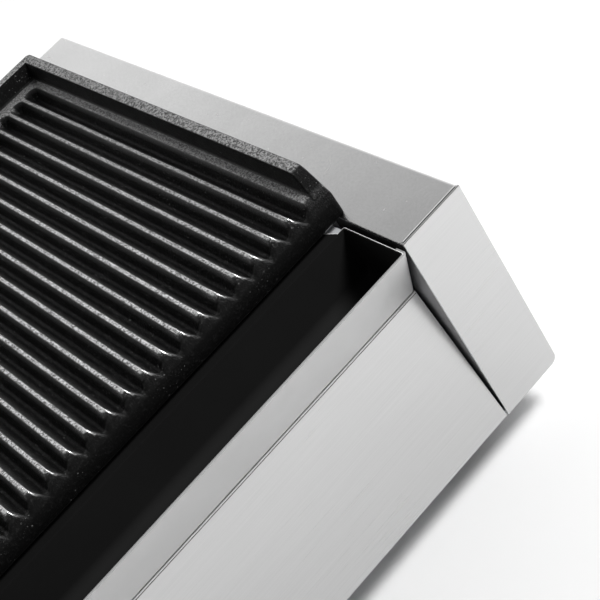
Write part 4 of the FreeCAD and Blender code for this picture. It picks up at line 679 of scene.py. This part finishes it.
def panel_spot(across, up, out, centre, tilt=0.0):
    """A point beside a centre, measured along the leaning panel's axes or axes tilted from them."""
    turn = -PANEL_LEAN + tilt
    rise = Vector((0, math.sin(-turn), math.cos(-turn)))
    face = Vector((0, -math.cos(-turn), math.sin(-turn)))
    return Vector(centre) + Vector((across, 0, 0)) + rise * up + face * out


def panel_place(x, s, out=0.0):
    """Where a control sits: x across, s up the slope, out from the panel's face."""
    return panel_spot(x, s, out, (0, PANEL_FOOT_Y, PANEL_LOW.z))


def panel_strip(name, below, wide, proud, material):
    """A rounded strip across the panel's face, a distance below its upper edge."""
    half = PANEL_HIGH.x - 0.3 * MM
    middle = panel_place(0, PANEL_TOP_S - below)

    def spot(x, angle):
        return panel_spot(x, wide * math.cos(angle), proud * math.sin(angle), middle)

    points, faces = rounded_strip(-half, half, spot, 16)
    add_mesh(name, points, faces, "chassis", material, smooth_angle=60)


KNOB_X, CONTROL_S = -86 * MM, 37.5 * MM
SWITCH_X = -142 * MM
FLUTES = 16
FLUTE_DEPTH = 1.3 * MM
# The knob's outline from its foot over the skirt and the grip to the dish on top: the radius and the
# height over the panel in mm, and the share of the flutes' depth there.
KNOB_OUTLINE = (
    (9.0, 8.2, 0), (9.0, 2.4, 0), (9.3, 2.2, 0), (20.4, 2.2, 0), (20.85, 2.4, 0), (21.0, 2.9, 0),
    (21.0, 4.9, 0), (20.8, 5.4, 0), (20.2, 5.7, 0), (17.9, 5.9, 0), (17.1, 6.2, 0.3), (16.6, 6.9, 0.8),
    (16.4, 8.0, 1), (15.5, 17.5, 1), (15.2, 19.6, 1), (14.9, 20.5, 0.8), (14.3, 21.0, 0.45),
    (13.5, 21.2, 0.1), (12.6, 21.1, 0), (11.5, 20.6, 0), (6.0, 20.3, 0), (2.0, 20.25, 0),
)
REST_TURN = math.radians(-135)
FULL_TURN = math.radians(270)
TOP_HEAT, HEAT_STEP, NUMBERED_STEP = 300, 10, 50
DIAL_TOP = 0.8 * MM
TICK_REACH = 21.6 * MM
NUMERAL_REACH = 25.8 * MM
NUMERAL_SIZE = 3.4 * MM
MAJOR_TICK, MINOR_TICK = (1.5 * MM, 0.45 * MM), (0.8 * MM, 0.25 * MM)
# The pointer on the knob's top and on its skirt in mm: reach, width, length and height over the panel.
POINTER_LINES = ((8.2, 1.3, 8.4, 20.35), (18.9, 1.0, 2.2, 5.78))
ROCKER_TILT = math.radians(10)
ROCKER_PIVOT = -2 * MM
ROCKER_FACE = 3.32 * MM
MARK_RISE = 6 * MM
RING_INNER, RING_OUTER = 1.4 * MM, 2.0 * MM
MARK = 0.08 * MM


def fluted_knob(material):
    """The knob: a flat skirt, a fluted grip with a rounded shoulder and a shallow dish on top."""
    count = FLUTES * 12
    angles = np.linspace(0, 2 * math.pi, count, endpoint=False)
    flutes = np.clip(np.cos(FLUTES * angles), 0, 1) ** 1.5
    centre = panel_place(KNOB_X, CONTROL_S)
    points = []
    for radius, height, share in KNOB_OUTLINE:
        for turn, reach in zip(angles, radius * MM - FLUTE_DEPTH * share * flutes):
            points.append(panel_spot(reach * math.cos(turn), reach * math.sin(turn), height * MM, centre))
    last = len(points) - count
    faces = grid_faces(len(KNOB_OUTLINE), count, closed=True)
    faces += [tuple(range(count - 1, -1, -1)), tuple(range(last, last + count))]
    add_mesh("fluted_knob", points, faces, "knob", material, ["control_knob"])


def flat_mark(outline, out, centre, tilt=0.0):
    """Points and faces of a thin raised mark with the given outline in the panel's axes."""
    count = len(outline)
    points = [panel_spot(x, up, level, centre, tilt) for level in (out, out + MARK) for x, up in outline]
    faces = [tuple(range(count - 1, -1, -1)), tuple(range(count, 2 * count))]
    return points, faces + grid_faces(2, count, closed=True)


def print_marks(name, marks, body, material):
    """One piece from several printed marks."""
    points, faces = [], []
    for mark_points, mark_faces in marks:
        first = len(points)
        points += mark_points
        faces += [tuple(first + vertex for vertex in face) for face in mark_faces]
    add_mesh(name, points, faces, body, material)


def round_about(reach, angle):
    """A place at a distance from a centre, at an angle clockwise from straight up."""
    return reach * math.sin(angle), reach * math.cos(angle)


def bar(across, up, width, length, angle):
    """A rectangle whose length points at an angle clockwise from straight up."""
    along = (math.sin(angle), math.cos(angle))
    side = (math.cos(angle), -math.sin(angle))
    corners = ((-1, -1), (1, -1), (1, 1), (-1, 1))
    return [(across + side[0] * a * width / 2 + along[0] * b * length / 2,
             up + side[1] * a * width / 2 + along[1] * b * length / 2) for a, b in corners]


def numeral(text, across, up, size, out, centre):
    """A number as a thin raised mark."""
    curve = bpy.data.curves.new(f"numeral_{text}", "FONT")
    curve.body = text
    curve.size = size
    curve.align_x = "CENTER"
    curve.align_y = "CENTER"
    curve.extrude = MARK / 2
    curve.resolution_u = 3
    holder = bpy.data.objects.new(f"numeral_{text}", curve)
    mesh = bpy.data.meshes.new_from_object(holder)
    points = [panel_spot(across + spot.co.x, up + spot.co.y, out + spot.co.z, centre)
              for spot in mesh.vertices]
    faces = [tuple(face.vertices) for face in mesh.polygons]
    bpy.data.objects.remove(holder)
    bpy.data.meshes.remove(mesh)
    return points, faces


def dial_marks(material):
    """Ticks round the knob every ten degrees Celsius, longer ones with a number every fifty."""
    centre = panel_place(KNOB_X, CONTROL_S)
    marks = []
    for heat in range(0, TOP_HEAT + 1, HEAT_STEP):
        angle = REST_TURN + FULL_TURN * heat / TOP_HEAT
        major = heat % NUMBERED_STEP == 0
        length, width = MAJOR_TICK if major else MINOR_TICK
        outline = bar(*round_about(TICK_REACH + length / 2, angle), width, length, angle)
        marks.append(flat_mark(outline, DIAL_TOP - MARK / 2, centre))
        if major:
            spot = round_about(NUMERAL_REACH, angle)
            marks.append(numeral(str(heat), *spot, NUMERAL_SIZE, DIAL_TOP, centre))
    print_marks("dial_marks", marks, "chassis", material)


def knob_pointer(material):
    """The white line on the knob's top and skirt, which points at zero at rest."""
    centre = panel_place(KNOB_X, CONTROL_S)
    marks = []
    for reach, width, length, out in POINTER_LINES:
        outline = bar(*round_about(reach * MM, REST_TURN), width * MM, length * MM, REST_TURN)
        marks.append(flat_mark(outline, out * MM, centre))
    print_marks("knob_pointer", marks, "knob", material)


def rocker_marks(material):
    """The bar on the rocker's upper half and the ring on its lower half."""
    centre = panel_place(SWITCH_X, CONTROL_S, ROCKER_PIVOT)
    turns = np.linspace(0, 2 * math.pi, 25)
    marks = [flat_mark(bar(0, MARK_RISE, 0.8 * MM, 4 * MM, 0), ROCKER_FACE, centre, ROCKER_TILT)]
    for start, end in zip(turns, turns[1:]):
        outline = [(radius * math.cos(turn), radius * math.sin(turn) - MARK_RISE)
                   for radius, turn in ((RING_INNER, start), (RING_OUTER, start), (RING_OUTER, end),
                                        (RING_INNER, end))]
        marks.append(flat_mark(outline, ROCKER_FACE, centre, ROCKER_TILT))
    print_marks("rocker_marks", marks, "rocker", material)


# ---------------------------------------------------------------- drip tray

TRAY_LOW, TRAY_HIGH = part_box("drip_tray")
TRAY_WALL = 0.8 * MM
TRAY_CORNER = 0.9 * MM
TRAY_HALF = TRAY_HIGH.x
LIP_REACH = 6.5 * MM
TRAY_BACK = TRAY_HIGH.y - LIP_REACH
# How far the tray's front wall draws back between its rim and its foot.
FRONT_RUN = 12.3 * MM
TRAY_LEAN = FRONT_RUN / (TRAY_HIGH.z - TRAY_LOW.z)
TRAY_FOOT = 2.0 * MM
TRAY_BEND = 4.5 * MM
RIM_ROUND = 0.25 * MM
LIP_EDGE = 0.35 * MM
LIP_BREAK = 0.12 * MM
# Half the lip's width where it leaves the tray and at its rear edge.
LIP_ROOT = 160.6 * MM
LIP_TIP = 157.9 * MM
# The rows of the pan's faces, counted from its foot, that are the outer edge of its rim.
BARE_ROWS = (5, 6)


def tray_ring(height, inset, corner, steps=6):
    """The tray's outline at a height, drawn in from its outer faces."""
    front = TRAY_LOW.y + (TRAY_HIGH.z - height) * TRAY_LEAN + inset
    half = TRAY_HALF - inset
    back = TRAY_BACK - inset
    corners = ((half, front, -90), (half, back, 0), (-half, back, 90), (-half, front, 180))
    ring = []
    lip_ends = [(LIP_ROOT, back, height), (-LIP_ROOT, back, height)]
    for x, y, start in corners:
        across = math.copysign(1, x)
        along = 1 if y == back else -1
        middle = (x - across * corner, y - along * corner)
        for angle in np.linspace(math.radians(start), math.radians(start + 90), steps):
            turned = (corner * math.cos(angle), corner * math.sin(angle))
            ring.append((middle[0] + turned[0], middle[1] + turned[1], height))
    return ring[:2 * steps] + lip_ends + ring[2 * steps:]


def tray_rings():
    """Outer foot, outer wall, rim, inner wall, rounded inner bend."""
    low, high = TRAY_LOW.z, TRAY_HIGH.z
    rings = []
    for angle in np.linspace(0, math.pi / 2, 4):
        draw = TRAY_FOOT * (1 - math.sin(angle))
        rings.append(tray_ring(low + TRAY_FOOT * (1 - math.cos(angle)), draw, TRAY_CORNER))
    rim = ((0.8 * MM, 0), (RIM_ROUND, 0), (0, RIM_ROUND), (0, TRAY_WALL / 2), (0, TRAY_WALL - RIM_ROUND),
           (RIM_ROUND, TRAY_WALL))
    rings += [tray_ring(high - drop, draw, TRAY_CORNER) for drop, draw in rim]
    floor = low + TRAY_WALL
    for angle in np.linspace(0, math.pi / 2, 7):
        draw = TRAY_WALL + TRAY_BEND * (1 - math.cos(angle))
        corner = TRAY_CORNER + 0.3 * TRAY_BEND * angle
        rings.append(tray_ring(floor + TRAY_BEND * (1 - math.sin(angle)), draw, corner))
    return rings


def pan_faces(rings):
    """Faces round a stack of closed rings, with the first and the last ring closed off."""
    count = len(rings[0])
    faces = [tuple(reversed(face)) for face in grid_faces(len(rings), count, closed=True)]
    last = (len(rings) - 1) * count
    return faces + [tuple(range(count)), tuple(range(last + count - 1, last - 1, -1))]


def flat_piece(name, outline, low, high, body, material):
    """A flat piece with an anticlockwise outline between two heights, its edges broken a little."""
    middle = np.mean(outline, axis=0)
    points = []
    for height, draw in ((low, LIP_BREAK), (low + LIP_BREAK, 0), (high - LIP_BREAK, 0), (high, LIP_BREAK)):
        size = 1 - draw / np.abs(np.array(outline) - middle).max()
        points += [(*(middle + (np.array(corner) - middle) * size), height) for corner in outline]
    count = len(outline)
    faces = grid_faces(4, count, closed=True)
    faces += [tuple(range(count - 1, -1, -1)), tuple(range(3 * count, 4 * count))]
    add_mesh(name, points, faces, body, material)


def enamel_pan(enamel, bright, lip_enamel, satin):
    """The enamelled pan: the rim's outer edge is bare metal in a near-white finish that also paints its
    highlight, duller in front, and the rear in painted shade.
    """
    rings = tray_rings()
    points = [point for ring in rings for point in ring]
    pan = add_mesh("enamel_pan", points, pan_faces(rings), "tray", enamel, ["drip_tray"])
    for material in (bright, lip_enamel, satin):
        pan.data.materials.append(material)
    for face in pan.data.polygons:
        row = face.index // len(rings[0])
        at_rear = abs(face.center.x) < LIP_ROOT and face.center.y > TRAY_BACK - 2 * MM
        if row in BARE_ROWS and not at_rear:
            at_front = face.center.y < TRAY_LOW.y + TRAY_WALL and abs(face.normal.x) < 0.3
            face.material_index = 3 if at_front else 1
        # The rear rim under the plate takes the darker enamel: painted shade.
        elif at_rear and face.center.z > TRAY_HIGH.z - 0.3 * MM:
            face.material_index = 2


def tray_lip(lip_enamel, bright):
    """The tray's lip, which reaches back under the plate, in the darker enamel of painted shade, and its
    two bare ends.
    """
    top, under, tip = TRAY_HIGH.z, TRAY_HIGH.z - TRAY_WALL, TRAY_HIGH.y
    root = TRAY_BACK - TRAY_WALL / 2
    outline = [(-LIP_ROOT, root), (LIP_ROOT, root), (LIP_ROOT, TRAY_BACK), (LIP_TIP, tip),
               (-LIP_TIP, tip), (-LIP_ROOT, TRAY_BACK)]
    # The lip is in the darker enamel: painted shade under the plate.
    flat_piece("tray_lip", outline, under + 0.02 * MM, top - 0.02 * MM, "tray", lip_enamel)
    for side, name in ((1, "right"), (-1, "left")):
        ends = [(side * LIP_TIP, tip), (side * LIP_ROOT, TRAY_BACK),
                (side * (LIP_ROOT + LIP_EDGE), TRAY_BACK), (side * (LIP_TIP + LIP_EDGE), tip)]
        flat_piece(f"lip_edge_{name}", ends[::side], under, top, "tray", bright)


# ---------------------------------------------------------------- assembly

def paint_cad_nodes(looks):
    """Each CAD node's finish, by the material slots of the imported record."""
    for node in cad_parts.values():
        for slot in node.material_slots:
            slot.material = looks[slot.material.name.split(".")[0]]


add_camera()
add_world()
add_floor()
add_area("overhead", *OVERHEAD)
add_area("back_light", *BACK_LIGHT)
window = add_area("window", *WINDOW)
looks = make_finishes()
paint_cad_nodes(looks)
# The arms' inner cheeks get a darker steel: painted shade on these inward faces.
for name in ("left_arm_cheek", "right_arm_cheek"):
    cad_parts[name].material_slots[0].material = looks["dull_steel"]
shine_only_on(window, ribbed_plate(looks["cast_plate"]))
softened("top_casing", "chassis", looks["mill"])
for name in ("front_panel", "left_front_cap", "right_front_cap"):
    softened(name, "chassis", looks["stainless"])
for name in ("rear_panel", "base_pan"):
    softened(name, "chassis", looks["zinc_sheet"])
softened("tray_fascia", "tray", looks["satin_steel"])
enamel_pan(looks["enamel"], looks["bare_edge"], looks["lip_enamel"], looks["satin_steel"])
tray_lip(looks["lip_enamel"], looks["bare_edge"])
arm_edges(looks["bare_edge"])
fluted_knob(looks["black_plastic"])
dial_marks(looks["black_print"])
knob_pointer(looks["white_print"])
rocker_marks(looks["white_print"])
# The hem's light stripe is a painted highlight on its rolled edge.
panel_strip("panel_hem", 0.55 * MM, 0.4 * MM, 0.2 * MM, looks["bare_edge"])
# A dark strip along the crease below the hem: a painted shadow.
panel_strip("panel_crease_shadow", 1.15 * MM, 0.2 * MM, 0.06 * MM, looks["black_plastic"])
bpy.context.scene.view_settings.view_transform = "Standard"
